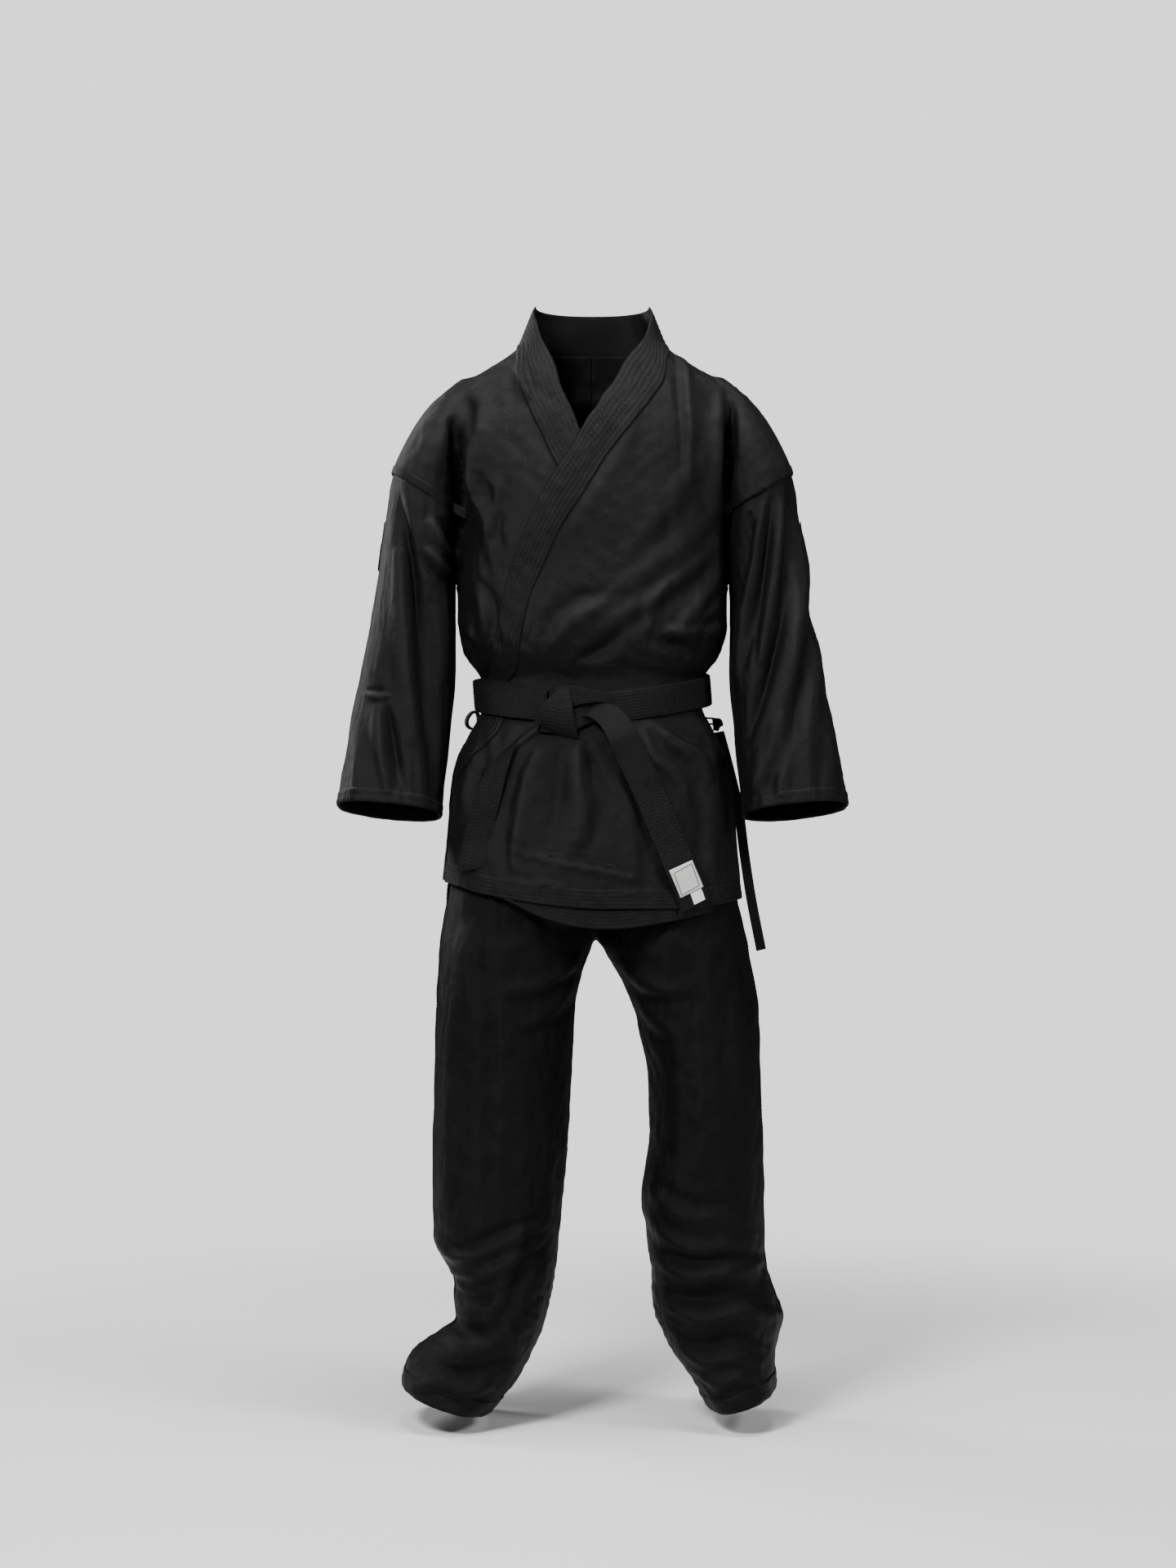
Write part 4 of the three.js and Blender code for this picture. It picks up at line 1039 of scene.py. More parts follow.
leg_tree = BVHTree.FromPolygons([Vector(p) for p in leg_shape], [tuple(map(int, f)) for f in leg_faces])
leg_hems = {}
for side, name in ((1, "left"), (-1, "right")):
    angle = np.linspace(0, 2 * math.pi, 220, endpoint=False)
    middle = np.array([side * leg_sizes[side](40)[0, 0], leg_sizes[side](40)[0, 1]])
    rows = []
    for share in np.linspace(0, 1, 16):
        ring = []
        for a in angle:
            aim = np.array([math.cos(a), math.sin(a)])
            point = np.array([*middle, 60.0])
            for _ in range(3):
                level = FOOT["h"] + FOOT["lean"] * (abs(point[0]) - FOOT["x"]) + FOOT["hem"] * (1 - share) + 1.0
                start = Vector((*(middle + aim * 220), level))
                hit = leg_tree.ray_cast(start, Vector((-aim[0], -aim[1], 0)), 220)[0]
                point = np.array(hit) if hit is not None else np.array([*(middle + aim * 50), level])
            ring.append(point)
        rows.append(ring)
    grid = np.array(rows)
    for _ in range(4):
        grid = 0.5 * grid + 0.25 * (np.roll(grid, 1, axis=1) + np.roll(grid, -1, axis=1))
    across = np.roll(grid, -1, axis=1) - np.roll(grid, 1, axis=1)
    normal = np.cross(across, np.gradient(grid, axis=0))
    normal /= np.linalg.norm(normal, axis=2, keepdims=True) + 1e-9
    if ((grid - grid.mean(axis=1, keepdims=True)) * normal).sum() < 0:
        normal = -normal
    hem = hem_ring(f"{name}_leg_hem_band", grid, normal, 1.0, 3, TROUSER_DRILL, 61 + side, puckers=0.45)
    leg_hems[name] = hem
    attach(hem, f"{name}_leg")
    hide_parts(f"{name}_leg_hem")

# ---------------------------------------------------------------- hems and seams
# Turned hems with four rows of stitching, felled seams with two, all in the jacket's own drill.
def strip_piece(name, grid, normal, thick, rows, material, seed, groove=0.4, pucker=0.35, crest=0.36):
    """A stitched strip over a grid of points (along, across, 3) already laid on the cloth."""
    n, m = grid.shape[:2]
    along = np.concatenate([[0], np.cumsum(np.linalg.norm(np.diff(grid[:, m // 2], axis=0), axis=1))])
    spread = np.linspace(-1, 1, m)
    face = pressed_rows(spread[None] + 0 * along[:, None], along[:, None] + 0 * spread[None], rows, groove,
                        pucker, seed)
    edge = np.sqrt(np.clip(1 - np.abs(spread) ** 8, 0, 1)) * 0.85 + 0.15
    top = grid + normal * (thick * edge[None] + face)[..., None]
    loop = np.concatenate([top, (grid - normal * 0.3)[:, ::-1]], axis=1)
    ids = np.arange(loop.shape[0] * loop.shape[1]).reshape(loop.shape[:2])
    k = loop.shape[1]
    faces = [(ids[i, j], ids[i + 1, j], ids[i + 1, (j + 1) % k], ids[i, (j + 1) % k])
             for i in range(n - 1) for j in range(k)]
    faces += [tuple(ids[0]), tuple(ids[-1][::-1])]
    shade = np.clip(crest + 0.5 * face, 0, 1)
    shade = np.concatenate([shade, shade[:, ::-1]], axis=1).ravel()
    return outward(mesh_piece(name, in_frame(loop.reshape(-1, 3)), faces, material, shade)), top, normal


def row_lines(top, normal, rows, lift=0.12):
    """The lines that a strip's stitch rows follow, one for each row."""
    m = top.shape[1]
    lines = []
    for k in range(1, rows + 1):
        place = k / (rows + 1) * (m - 1)
        low, share = int(place), place - int(place)
        high = min(low + 1, m - 1)
        lines.append((top + normal * lift)[:, low] * (1 - share) + (top + normal * lift)[:, high] * share)
    return lines


def hem_strip(name, first, last, hem, off, seed, tall=25.0, rows=4, columns=26):
    """A turned hem along the bottom of the jacket between two turns."""
    count = int(abs(last - first) * 3.4 / 1.9)
    turn = np.linspace(first, last, count)
    edge = hem(on_jacket(turn, 720.0))
    height = edge[:, None] + np.linspace(-0.4, tall, columns)[None]
    grid_turn = np.repeat(turn[:, None], columns, axis=1)
    base = on_jacket(grid_turn.ravel(), height.ravel())
    normal = body_normals(grid_turn.ravel(), height.ravel())
    grid = calm(laid_on(base, normal, off).reshape(count, columns, 3), 2)
    return strip_piece(name, grid, normal.reshape(count, columns, 3), 0.9, rows, DRILL, seed)


def beside(tree, side, y, h, off):
    """Points on the cloth seen from one side, at a depth and height."""
    made = []
    start, aim = (60, side) if tree is skin_tree else (420, -side)
    for py, ph in zip(y, h):
        hit = tree.ray_cast(Vector((side * start, py, ph)), Vector((aim, 0, 0)), 360)[0]
        made.append((hit[0] + side * off if hit is not None else side * 180.0, py, ph))
    return np.array(made)


def side_strip_piece(name, tree, side, y, heights, width, off, rows, seed, columns=10, material=DRILL):
    """A vertical strip down one side, centred on a depth that may vary with height."""
    h = np.linspace(heights[0], heights[1], max(int(abs(heights[0] - heights[1]) / 2.2), 8))
    depth = np.interp(h, *zip(*sorted((b, a) for a, b in y)))
    grid = np.stack([beside(tree, side, depth + w, h, off) for w in np.linspace(-width / 2, width / 2,
                                                                                columns)], 1)
    grid = calm(grid, 6)
    normal = np.cross(np.gradient(grid, axis=0), np.gradient(grid, axis=1))
    normal /= np.linalg.norm(normal, axis=2, keepdims=True)
    normal = np.where(normal[..., :1] * side < 0, -normal, normal)
    return strip_piece(name, grid, normal, 0.8, rows, material, seed)


def back_strip(name, x, heights, width, off, rows, seed, columns=10):
    h = np.linspace(heights[0], heights[1], int(abs(heights[0] - heights[1]) / 2.2))
    grid = []
    for w in np.linspace(-width / 2, width / 2, columns):
        column = []
        for ph in h:
            hit = skin_tree.ray_cast(Vector((x + w, 400, ph)), Vector((0, -1, 0)), 400)[0]
            column.append((x + w, (hit[1] if hit is not None else 80.0) + off, ph))
        grid.append(column)
    grid = calm(np.array(grid).transpose(1, 0, 2), 6)
    normal = np.zeros_like(grid)
    normal[..., 1] = 1
    return strip_piece(name, grid, normal, 0.8, rows, DRILL, seed)


def armhole_strip(name, side, seed, columns=10):
    """The felled seam round the end of the drop shoulder, with its double stitching."""
    level = lambda p: ARMHOLE["h"] + 6 + (np.abs(p[:, 0]) - ARMHOLE["x"]) * slope[1] / slope[0]
    count = 260
    ring, _ = tube_grid(sleeve_size, side, count, 2, (level, 1290), (lambda p: level(p) - 20, 1270))
    ring = ring[0]
    middle = ring.mean(axis=0)
    out = ring - middle
    axis = np.array([side * slope[1], 0, -slope[0]])
    out -= (out @ axis)[:, None] * axis
    out /= np.linalg.norm(out, axis=1, keepdims=True)
    angle = np.linspace(0, 2 * math.pi, count, endpoint=False)
    keep = np.cos(angle) > -0.975
    order = np.argsort(np.where(angle > math.pi, angle - 2 * math.pi, angle))
    order = order[keep[order]]
    grid = np.stack([laid_on(ring[order] - axis * w, out[order], 0.1) for w in np.linspace(-5, 7, columns)],
                    1)
    normal = np.repeat(out[order][:, None], columns, axis=1)
    return strip_piece(name, calm(grid, 3), normal, 1.0, 2, DRILL, seed, groove=0.45, pucker=0.5)


strips = {}
strips["left_front_hem"] = hem_strip("left_front_hem", -104, 88, left_hem_height, WRAP_LIFT + 0.2, 101)
strips["right_front_hem"] = hem_strip("right_front_hem", -89, 50, right_hem_height, 0.2, 102)
strips["back_hem"] = hem_strip("back_hem", 91, 269, lambda p: np.full(len(p), 706.0), -1.3, 103)
for side, word in ((1, "left"), (-1, "right")):
    strips[f"{word}_armhole_seam"] = armhole_strip(f"{word}_armhole_seam", side, 110 + side)
    strips[f"{word}_front_side_seam"] = side_strip_piece(f"{word}_front_side_seam", skin_tree, side,
                                                         [(-23, 930), (-23, 1244)], (1240, 940), 9, 0.2, 2,
                                                         113 + side)
    strips[f"{word}_back_side_seam"] = side_strip_piece(f"{word}_back_side_seam", skin_tree, side,
                                                        [(33, 930), (33, 1244)], (1240, 940), 9, 0.2, 2,
                                                        116 + side)
    strips[f"{word}_back_vent_facing"] = side_strip_piece(f"{word}_back_vent_facing", skin_tree, side,
                                                          [(16, 690), (16, 950)], (928, 708), 19, -0.4, 2,
                                                          122 + side)
strips["left_front_vent_facing"] = side_strip_piece("left_front_vent_facing", skin_tree, 1,
                                                    [(-7, 690), (-7, 950)],
                                                    (934, 730), 20, WRAP_LIFT + 0.2, 2, 119)
strips["right_front_vent_facing"] = side_strip_piece("right_front_vent_facing", skin_tree, -1,
                                                     [(-7, 690), (-7, 950)], (934, 750), 20, 0.3, 2, 120)
strips["centre_back_seam"] = back_strip("centre_back_seam", 0, (1476, 708), 9, 0.2, 2, 125)
for name, (piece, _, _) in strips.items():
    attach(piece, "jacket")

leg_seams = {}
for side, word in ((1, "left"), (-1, "right")):
    made = side_strip_piece(f"{word}_trouser_side_seam", leg_tree, side, [(-6, 40), (-10, 400), (-4, 720)],
                            (710, 62),
                            10, 0.2, 2, 131 + side, material=TROUSER_DRILL)
    leg_seams[word] = made
    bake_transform(made[0])

# ---------------------------------------------------------------- stitching
# Spun thread in lockstitch: one short raised stitch after another along the lapel and neck band rows, the jacket's
# hems and seams, and the trousers' side seams.
def stitch_tree():
    tree = bpy.data.node_groups.new("stitch_rows", "GeometryNodeTree")
    tree.interface.new_socket("Geometry", in_out="INPUT", socket_type="NodeSocketGeometry")
    for name, value in (("Pitch", 0.0036), ("Stitch", 0.0027), ("Thread", 0.00034)):
        tree.interface.new_socket(name, in_out="INPUT", socket_type="NodeSocketFloat").default_value = value
    tree.interface.new_socket("Finish", in_out="INPUT", socket_type="NodeSocketMaterial")
    tree.interface.new_socket("Geometry", in_out="OUTPUT", socket_type="NodeSocketGeometry")
    given, out = tree.nodes.new("NodeGroupInput").outputs, tree.nodes.new("NodeGroupOutput").inputs
    row = node(tree, "GeometryNodeMeshToCurve", {"Mesh": given["Geometry"]}).outputs[0]
    places = node(tree, "GeometryNodeResampleCurve", {"Curve": row, "Length": given["Pitch"]},
                  mode="LENGTH").outputs[0]
    stitch = node(tree, "GeometryNodeMeshCylinder", {"Vertices": 5, "Side Segments": 1,
                                                     "Radius": given["Thread"],
                                                     "Depth": given["Stitch"]}).outputs["Mesh"]
    run = node(tree, "GeometryNodeInputTangent").outputs[0]
    turned = node(tree, "FunctionNodeAlignRotationToVector", {"Vector": run}, axis="Z").outputs[0]
    laid = node(tree, "GeometryNodeInstanceOnPoints", {"Points": places, "Instance": stitch,
                                                       "Rotation": turned})
    real = node(tree, "GeometryNodeRealizeInstances", {"Geometry": laid.outputs[0]}).outputs[0]
    done = node(tree, "GeometryNodeSetMaterial", {"Geometry": real, "Material": given["Finish"]}).outputs[0]
    tree.links.new(done, out[0])
    return tree


STITCH_ROWS = stitch_tree()


def sewn(name, lines, thread=0.00034, pitch=0.0036, finish=THREAD):
    """Stitches along lines in mm, as one plain mesh."""
    mesh = bpy.data.meshes.new(name)
    points, edges = [], []
    for line in lines:
        edges += [(len(points) + i, len(points) + i + 1) for i in range(len(line) - 1)]
        points += [tuple(p) for p in in_frame(line)]
    mesh.from_pydata(points, edges, [])
    piece = bpy.data.objects.new(name, mesh)
    bpy.context.collection.objects.link(piece)
    rows = piece.modifiers.new("rows", "NODES")
    rows.node_group = STITCH_ROWS
    for item in STITCH_ROWS.interface.items_tree:
        value = {"Pitch": pitch, "Stitch": pitch * 0.74, "Thread": thread, "Finish": finish}.get(item.name)
        if item.in_out == "INPUT" and value is not None:
            rows[item.identifier] = value
    made = bpy.data.meshes.new_from_object(piece.evaluated_get(bpy.context.evaluated_depsgraph_get()))
    piece.modifiers.clear()
    piece.data = made
    made.polygons.foreach_set("use_smooth", [True] * len(made.polygons))
    return piece


jacket_lines = {"lapel_stitches": row_lines(left_top, left_face, LAPEL_ROWS)
                + row_lines(right_top, right_face, LAPEL_ROWS) + row_lines(neck_top, neck_face, LAPEL_ROWS),
                "hem_stitches": sum((row_lines(*strips[k][1:], 4) for k in
                                     ("left_front_hem", "right_front_hem", "back_hem")), []),
                "seam_stitches": sum((row_lines(*made[1:], 2) for k,
                                      made in strips.items() if "hem" not in k), [])}
for name, lines in jacket_lines.items():
    piece = sewn(name, lines)
    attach(piece, "jacket")
for word, (made, top, normal) in leg_seams.items():
    piece = sewn(f"{word}_trouser_seam_stitches", row_lines(top, normal, 2))
    side = 1 if word == "left" else -1
    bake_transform(piece)

# ---------------------------------------------------------------- belt
# Long quilted cotton belt, twice round the waist and tied flat in front; nine rows of stitching.
BELT_WIDE, BELT_THICK, BELT_ROWS = 42, 3.6, 9
WEBBING = cloth("quilted_belt_cotton", (0.0010, 0.0011, 0.0016), (0.0050, 0.0050, 0.0052), pitch=1500,
                roughness=0.52, sheen=0.008, bump=0.0005, specular=0.13)


def belt_height(turn, front=980, back=1016):
    return front + (back - front) * np.abs(np.sin(np.radians(turn / 2))) ** 0.85 + 4 * np.sin(np.radians(turn))


def belt_turn(name, grow, lift, seed):
    """One turn of the belt, its ends meeting behind the knot."""
    turn = np.linspace(-17, 342, 560)
    height = belt_height(turn) + lift(turn)
    centre = on_jacket(turn, np.full(len(turn), 1000.0), grow)
    centre[:, 2] = height
    normal = on_jacket(turn, np.full(len(turn), 1000.0), grow + 5) - on_jacket(turn,
                                                                               np.full(len(turn), 1000.0),
                                                                               grow)
    side = np.zeros_like(centre)
    side[:, 2] = BELT_WIDE / 2
    side += normal / 5 * (1.6 * np.sin(np.radians(turn * 3)))[:, None]
    return band_piece(name, centre, side, normal, BELT_THICK, WEBBING, rows=BELT_ROWS, groove=0.6,
                      pucker=0.62,
                      seed=seed, crest=0.45)


under_turn = belt_turn("belt_under_turn", 7.6, lambda t: 7.5 * np.exp(-((t + 26) / 22) ** 2)
                       + 5.0 * np.exp(-((t - 310) / 26) ** 2) - 3 * np.exp(-((t - 40) / 20) ** 2), 71)
over_turn = belt_turn("belt_over_turn", 11.6, lambda t: -1.5 * np.cos(np.radians(t)), 72)


def ahead(x, h, off):
    """How far forward a strap lies when it rests off the jacket's front by a distance."""
    made = []
    for px, ph, lift in np.broadcast(x, h, off):
        hit = skin_tree.ray_cast(Vector((px, -400, ph)), Vector((0, 1, 0)), 500)[0]
        made.append((hit[1] if hit is not None else -60.0) - lift)
    return np.array(made)


def strap(name, stations, seed, steps=None, thick=BELT_THICK, material=WEBBING, rows=BELT_ROWS, y=None):
    """A length of belt. Stations are x, height, how far off the jacket, and half its width as x and height;
    y gives places in front of the body instead, where the belt is clear of the jacket."""
    line = smooth_line(stations, steps or 160)
    x, h, off, across, rise = line.T
    if y is None:
        forward = ahead(x, h, off)
        lean = (ahead(x + across, h + rise, off) - ahead(x - across, h - rise, off)) / 2
        lean = np.clip(lean, -8, 8)
    else:
        forward, lean = off, np.zeros(len(off))
    for _ in range(40):
        forward[1:-1] = 0.5 * forward[1:-1] + 0.25 * (forward[:-2] + forward[2:])
        lean[1:-1] = 0.5 * lean[1:-1] + 0.25 * (lean[:-2] + lean[2:])
    centre = np.column_stack([x, forward, h])
    side = np.column_stack([across, lean, rise])
    normal = np.cross(side, np.gradient(centre, axis=0))
    normal /= np.linalg.norm(normal, axis=1, keepdims=True)
    normal = np.where(normal[:, 1:2] > 0, -normal, normal)
    piece = band_piece(name, centre, side, normal, thick, material, rows=rows, groove=0.65, pucker=0.85,
                       seed=seed,
                       crest=0.5)
    return piece, centre, side, normal


KNOT_Y = float(on_jacket(0.0, 984.0, 14.0)[0, 1])
knot_loop, *_ = strap("belt_knot_front_fold", [
    (-36, 1013, KNOT_Y + 2, 3, 1), (-40, 1006, KNOT_Y - 6, 8, 2), (-45, 992, KNOT_Y - 11, 18, 1),
    (-48, 976, KNOT_Y - 13, 23, -4), (-46, 960, KNOT_Y - 11, 25, -8), (-43, 949, KNOT_Y - 5, 25, -9),
    (-41, 944, KNOT_Y + 4, 23, -9)], 81, steps=64, y=True)
knot_core, *_ = strap("belt_knot_inner_fold", [
    (-52, 992, KNOT_Y + 1, 2, 17), (-36, 996, KNOT_Y - 4, 2, 16), (-16, 998, KNOT_Y - 8, 1, 12),
    (2, 998, KNOT_Y - 7, -2, 9), (16, 996, KNOT_Y - 3, -3, 8),
    (28, 992, KNOT_Y + 2, -2, 10)], 82, steps=60, y=True)
knot_under, *_ = strap("belt_knot_lower_fold", [
    (-70, 962, KNOT_Y + 2, 4, 12), (-50, 962, KNOT_Y - 4, 2, 13), (-26, 966, KNOT_Y - 5, -1, 14),
    (-6, 974, KNOT_Y - 2, -5, 11), (6, 980, KNOT_Y + 3, -6, 9)], 83, steps=60, y=True)
left_end, left_centre, left_side, left_face = strap("belt_left_strap", [
    (-12, 974, 12, 6, 7), (2, 979, 18, 9, 9), (22, 971, 25, 13, 12), (39, 947, 25, 18, 9),
    (49, 924, 18, 19.5, 7),
    (70, 882, 11, 19.5, 8), (91, 833, 8.5, 19.5, 8), (113, 780, 8.5, 19.3, 8.3), (131, 738, 8.5, 19, 9),
    (139, 716, 8.5, 19, 9)], 84, steps=210)
right_end, *_ = strap("belt_right_strap", [
    (-64, 968, 16, 2, 7), (-78, 960, 19, 3.5, 7), (-93, 948, 19, 5.5, 7), (-107, 934, 15, 8, 5),
    (-119, 917, 11, 12, 3),
    (-131, 893, 9, 16.5, 3), (-144, 852, 8.5, 20, 4), (-154, 811, 8.5, 20.5, 4),
    (-163, 764, 8.5, 20.5, 3.6)], 85,
    steps=180)
for piece, body, cads in ((under_turn, "jacket", ["belt_inner_turn"]),
                          (over_turn, "jacket", ["belt_outer_turn"]),
                          (knot_loop, "jacket", ["belt_knot_loop"]),
                          (knot_core, "jacket", ["belt_knot_core"]),
                          (knot_under, "jacket", [])):
    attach(piece, body)
    if cads:
        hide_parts(*cads)
for piece, body, top in ((left_end, "belt_left_end", (0.030, -0.135, -0.470)),
                         (right_end, "belt_right_end", (-0.070, -0.130, -0.490))):
    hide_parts(body)
    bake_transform(piece)

# ---------------------------------------------------------------- belt label and tags
# A plain woven label with a stitched border, and a blank size tag under it.
def woven_label(name, ground, border, size, origin, along, across):
    """Satin-woven label cloth with a plain border line, drawn from its place on the label."""
    material = cloth(name, tuple(c * 0.9 for c in ground), ground, roughness=0.55, pitch=2400, bump=0.0002,
                     sheen=0.05, specular=0.35)
    tree = material.node_tree
    shader = tree.nodes["Principled BSDF"]
    place = node(tree, "ShaderNodeTexCoord").outputs["Object"]
    apart = node(tree, "ShaderNodeVectorMath", {0: place, 1: tuple(origin)}, operation="SUBTRACT").outputs[0]
    edges = []
    for axis, half in ((across, size[0] / 2), (along, size[1] / 2)):
        far = node(tree, "ShaderNodeVectorMath", {0: apart, 1: tuple(axis)},
                   operation="DOT_PRODUCT").outputs["Value"]
        edges.append(node(tree, "ShaderNodeMath", {0: node(tree, "ShaderNodeMath", {0: far},
                                                           operation="ABSOLUTE")
                     .outputs[0], 1: half}, operation="SUBTRACT").outputs[0])
    inset = node(tree, "ShaderNodeMath", {0: edges[0], 1: edges[1]}, operation="MAXIMUM").outputs[0]
    line = node(tree, "ShaderNodeMath", {0: inset, 1: -0.0042, 2: 0.0007}, operation="COMPARE").outputs[0]
    cloth_tone = shader.inputs["Base Color"].links[0].from_socket
    mark = node(tree, "ShaderNodeMix", {"Factor": line, 6: cloth_tone, 7: (*border, 1)}, data_type="RGBA")
    tree.links.new(mark.outputs[2], shader.inputs["Base Color"])
    return material


def on_strap(name, first, last, shift, half, material, thick=0.8, zigzag=0.0):
    """A flat patch laid on the left strap between two lengths from its end, in mm."""
    length = np.concatenate([[0], np.cumsum(np.linalg.norm(np.diff(left_centre, axis=0), axis=1))])
    want = np.linspace(length[-1] - first, length[-1] - last, 26)
    pick = [np.column_stack([np.interp(want, length, v[:, k]) for k in range(3)])
            for v in (left_centre, left_side, left_face)]
    unit = pick[1] / np.linalg.norm(pick[1], axis=1, keepdims=True)
    centre = pick[0] + unit * shift + pick[2] * (BELT_THICK / 2 + 0.9 + thick / 2)
    return band_piece(name, centre, unit * half, pick[2], thick, material, columns=13,
                      crest=0.5), centre, unit


label_first, label_last, LABEL_HALF = 60, 20, 18.5
length = np.concatenate([[0], np.cumsum(np.linalg.norm(np.diff(left_centre, axis=0), axis=1))])
middle = int(np.argmin(np.abs(length - (length[-1] - (label_first + label_last) / 2))))
label_along = left_centre[middle + 3] - left_centre[middle - 3]
label_along /= np.linalg.norm(label_along)
label_across = left_side[middle] / np.linalg.norm(left_side[middle])
LABEL_CLOTH = woven_label("woven_label", (0.62, 0.61, 0.58), (0.10, 0.10, 0.12),
                          (2 * LABEL_HALF / 1000, 0.040),
                          in_frame(left_centre[middle]), label_along, label_across)
TAG_CLOTH = cloth("printed_size_tag", (0.66, 0.66, 0.64), (0.74, 0.74, 0.72), roughness=0.5, pitch=3000,
                  bump=0.0001,
                  sheen=0.02)
HIP_CLOTH = cloth("hip_tag_weave", (0.010, 0.010, 0.012), (0.03, 0.03, 0.032), roughness=0.5, pitch=2400,
                  bump=0.0003)
label, *_ = on_strap("belt_woven_label", label_first, label_last, 0, LABEL_HALF, LABEL_CLOTH)
size_tag, *_ = on_strap("belt_blank_tag", label_last - 1, 3, 6, 9, TAG_CLOTH, thick=0.5)
for piece, cad in ((label, "belt_label"), (size_tag, "belt_size_tag")):
    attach(piece, "belt_left_end")
    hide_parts(cad)

# ---------------------------------------------------------------- small ties and tags
# Flat cotton tapes that close the jacket inside and at the hip, and the plain hip tag.
def tape_loop(name, middle, radii, tilt, width, thick, seed, count=48, material=BAND):
    """A closed loop of tape standing round its middle point, in mm."""
    angle = np.linspace(0, 2 * math.pi, count)
    across, up = np.array(tilt[0], float), np.array(tilt[1], float)
    across, up = across / np.linalg.norm(across), up / np.linalg.norm(up)
    out = across * np.cos(angle)[:, None] * radii[0] + up * np.sin(angle)[:, None] * radii[1]
    centre = np.array(middle) + out * (1 + 0.06 * np.sin(3 * angle + seed))[:, None]
    side = np.repeat([np.cross(across, up) * width / 2], count, axis=0)
    return band_piece(name, centre, side, np.cross(side, np.gradient(centre, axis=0)), thick, material,
                      rows=2,
                      groove=0.15, pucker=0.15, seed=seed)


knot_turns = [tape_loop("hip_knot_a", (174, 41, 964), (5, 7), ((1, 0.2, 0), (0, 0.1, 1)), 9, 2.0, 1),
              tape_loop("hip_knot_b", (174, 41, 962), (5, 7), ((0.3, 1, 0.2), (0.2, 0, 1)), 8, 2.0, 2),
              tape_loop("hip_knot_c", (175, 40, 966), (7, 4), ((1, 0.4, -0.2), (0.3, -0.6, 0.7)), 8, 1.8, 3),
              tape_loop("hip_knot_tab", (162, 38, 968), (15, 4), ((1, 0.2, -0.1), (0.1, 0.1, 1)), 11, 2.0, 5)]
work = bmesh.new()
for turn in knot_turns:
    work.from_mesh(turn.data)
    bpy.data.objects.remove(turn)
hip_knot_mesh = bpy.data.meshes.new("left_side_tie_knot_tape")
work.to_mesh(hip_knot_mesh)
work.free()
hip_knot_mesh.materials.append(BAND)
hip_knot = bpy.data.objects.new("left_side_tie_knot_tape", hip_knot_mesh)
bpy.context.collection.objects.link(hip_knot)
hip_loop = tape_loop("right_side_tie_loop_tape", (-166, 28, 968), (9, 12), ((1, 0.5, 0), (0.1, 0, 1)), 10,
                     3.4, 4)

patch_turn = np.linspace(-98.5, -86, 30)
patch_height = np.linspace(858, 778, 44)
patch_base = on_jacket(np.tile(patch_turn, 44), np.repeat(patch_height, 30))
patch_out = body_normals(np.tile(patch_turn, 44), np.repeat(patch_height, 30))
patch_grid = laid_on(patch_base, patch_out, 0.6).reshape(44, 30, 3)
side_patch, *_ = strip_piece("hip_side_tag", patch_grid, patch_out.reshape(44, 30, 3), 0.7, 1,
                                                HIP_CLOTH, 141, groove=0.0, pucker=0.0)
tie_turn = np.linspace(52, 82, 60)
inner_centre = on_jacket(tie_turn, 1100.0, -5.5)
inner_side = np.zeros_like(inner_centre)
inner_side[:, 2] = 7
inner_tie = band_piece("inner_side_tie", inner_centre, inner_side,
                       on_jacket(tie_turn, 1100.0, 0) - inner_centre, 1.4, BAND, rows=2, groove=0.15,
                       pucker=0.15)


def waist_ring(name, height, half, grow, thick, material, seed, rows, gather=0.0):
    """A band round the top of the trousers, inside the jacket."""
    turn = np.linspace(0, 360, 420)
    size = seat_size(np.full(len(turn), height))
    angle = np.radians(turn)
    swell = grow + gather * np.sin(turn * 0.9)
    centre = np.column_stack([(size[:, 0] + swell) * curved(np.sin(angle), 2 / ROUND),
                              BODY_Y - (size[:, 1] + swell) * curved(np.cos(angle), 2 / ROUND),
                              np.full(len(turn), float(height))])
    side = np.zeros_like(centre)
    side[:, 2] = half
    return band_piece(name, centre, side, centre - (0, BODY_Y, height), thick, material, rows=rows, seed=seed)


waistband = waist_ring("waistband_casing", 998, 14, -0.5, 2.4, DRILL, 151, 2, gather=1.0)
elastic = waist_ring("waist_elastic_web", 998, 11, -5.5, 1.8, WEBBING, 152, 5, gather=0.8)
for piece, cads, finish in ((hip_knot, ["left_side_tie_knot"], "tape"),
                            (hip_loop, ["right_side_tie_loop"], "tape"),
                            (side_patch, ["side_patch"], "label"), (inner_tie, ["inner_tie"], "tape"),
                            (waistband, ["waistband"], "drill"), (elastic, ["waist_elastic"], "elastic")):
    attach(piece, "jacket")
    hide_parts(*cads)

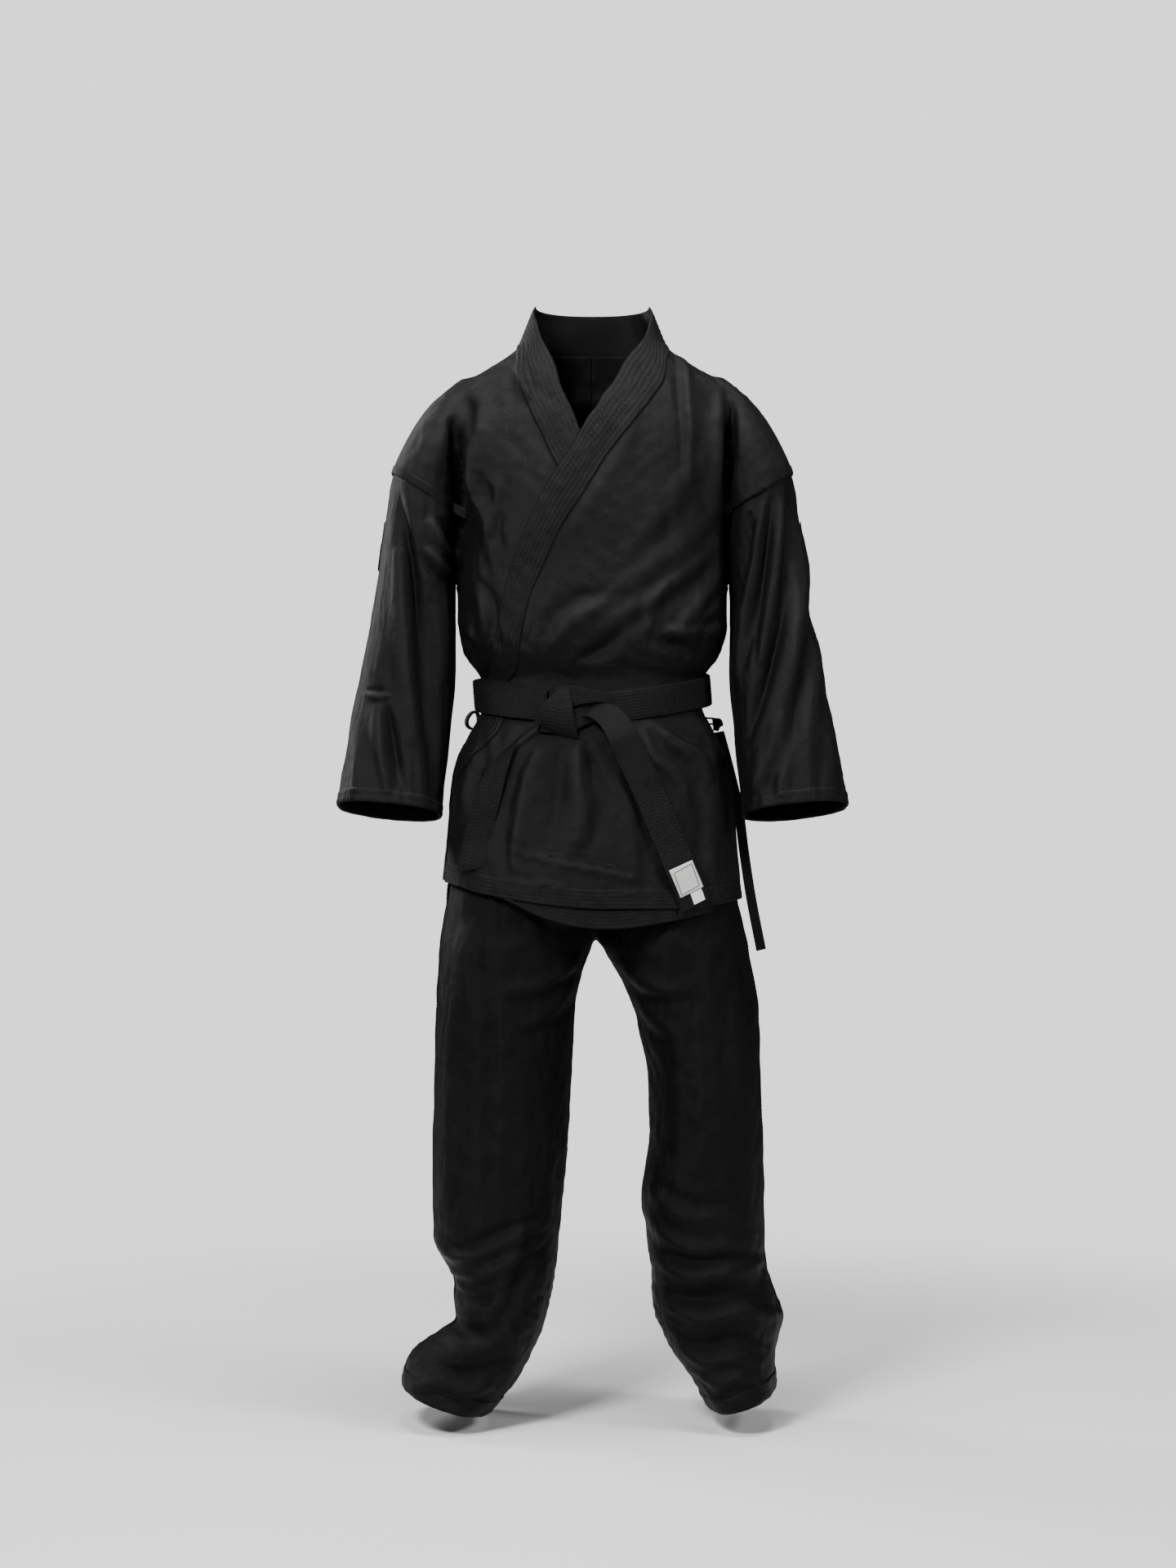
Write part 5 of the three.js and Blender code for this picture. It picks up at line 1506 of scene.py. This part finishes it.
# ---------------------------------------------------------------- cut sizes
# What each sewn piece was cut to before it was made up, width and length in metres.
CUT = {"left_sleeve_cloth": (0.46, 0.46), "right_sleeve_cloth": (0.46, 0.46),
       "left_leg_front_cloth": (0.30, 0.70),
       "left_leg_back_cloth": (0.32, 0.70), "right_leg_front_cloth": (0.30, 0.70),
       "right_leg_back_cloth": (0.32, 0.70),
       "trouser_seat_front": (0.40, 0.28), "trouser_seat_back": (0.42, 0.28),
       "left_lapel_band": (0.045, 0.93),
       "right_lapel_band": (0.045, 0.95), "neck_band_quilted": (0.060, 0.26),
       "belt_left_strap": (0.042, 0.33),
       "belt_right_strap": (0.042, 0.22)}
CUT.update({f"{name}_cloth": size for name, size in FLAT_SIZE.items()})
for name, size in CUT.items():
    rests = ["neck_band_quilted"] if name != "neck_band_quilted" else ["back_left_panel_cloth"]
    rests = ["belt_over_turn"] if name.startswith("belt") else rests
    rests = ["waistband_casing"] if "leg_" in name or "seat" in name else rests

# ---------------------------------------------------------------- stage and light
# A pale floor that fades into a plain pale room, with key, fill, overhead and rim soft boxes.
floor_radius, floor_z, FLOOR_SIDES = 6.0, -NECK_BASE, 96
floor_mesh = bpy.data.meshes.new("floor")
ring = [(floor_radius * math.cos(a), floor_radius * math.sin(a), floor_z)
        for a in np.linspace(0, 2 * math.pi, FLOOR_SIDES + 1)[:-1]]
floor_mesh.from_pydata(ring, [], [tuple(range(FLOOR_SIDES))])
floor = bpy.data.objects.new("floor", floor_mesh)
bpy.context.collection.objects.link(floor)
floor_paint = bpy.data.materials.new("pale_floor")
floor_paint.use_nodes = True
tree = floor_paint.node_tree
place = node(tree, "ShaderNodeTexCoord").outputs["Object"]
flat_place = node(tree, "ShaderNodeVectorMath", {0: place, 1: (1, 1, 0)}, operation="MULTIPLY").outputs[0]
away = node(tree, "ShaderNodeVectorMath", {0: flat_place}, operation="LENGTH").outputs["Value"]
fade = node(tree, "ShaderNodeMapRange", {"Value": away, "From Min": 0.7, "From Max": 2.0},
            interpolation_type="SMOOTHSTEP").outputs["Result"]
mottle = node(tree, "ShaderNodeTexNoise", {"Vector": place, "Scale": 3.0, "Detail": 3.0}).outputs["Fac"]
paint = node(tree, "ShaderNodeMix", {"Factor": mottle, 6: (0.79, 0.79, 0.79, 1), 7: (0.81, 0.81, 0.81, 1)},
             data_type="RGBA")
tree.links.new(paint.outputs[2], tree.nodes["Principled BSDF"].inputs["Base Color"])
tree.nodes["Principled BSDF"].inputs["Roughness"].default_value = 0.8
tree.nodes["Principled BSDF"].inputs["Specular IOR Level"].default_value = 0.1
clear = node(tree, "ShaderNodeBsdfTransparent")
blend = node(tree, "ShaderNodeMixShader", {0: fade, 1: tree.nodes["Principled BSDF"].outputs[0],
                                           2: clear.outputs[0]})
tree.links.new(blend.outputs[0], tree.nodes["Material Output"].inputs["Surface"])
floor.data.materials.append(floor_paint)

ROOM_SEEN, ROOM_LIGHT = 1.6, 0.06
world = bpy.data.worlds.new("room")
bpy.context.scene.world = world
world.use_nodes = True
tree = world.node_tree
seen = node(tree, "ShaderNodeLightPath").outputs["Is Camera Ray"]
strength = node(tree, "ShaderNodeMapRange", {"Value": seen, "To Min": ROOM_LIGHT, "To Max": ROOM_SEEN})
tree.links.new(strength.outputs["Result"], tree.nodes["Background"].inputs["Strength"])
tree.nodes["Background"].inputs["Color"].default_value = (1, 1, 1, 1)

SOFT_BOXES = [("key", (-1.3, -2.5, 1.6), (0, 0, -0.45), 0.9, 170),
              ("fill", (2.5, -1.5, 0.7), (0, 0, -0.6), 0.8, 60),
              ("overhead", (0.1, -0.5, 2.5), (0, 0, -0.3), 1.3, 110),
              ("rim", (-2.4, 1.6, 0.9), (0, 0, -0.4), 1.0, 60)]
for name, spot, target, size, power in SOFT_BOXES:
    lamp = bpy.data.lights.new(name, "AREA")
    lamp.shape, lamp.size, lamp.energy = "SQUARE", size, power
    holder = bpy.data.objects.new(name, lamp)
    bpy.context.collection.objects.link(holder)
    holder.location = spot
    holder.rotation_euler = (Vector(target) - Vector(spot)).to_track_quat("-Z", "Y").to_euler()
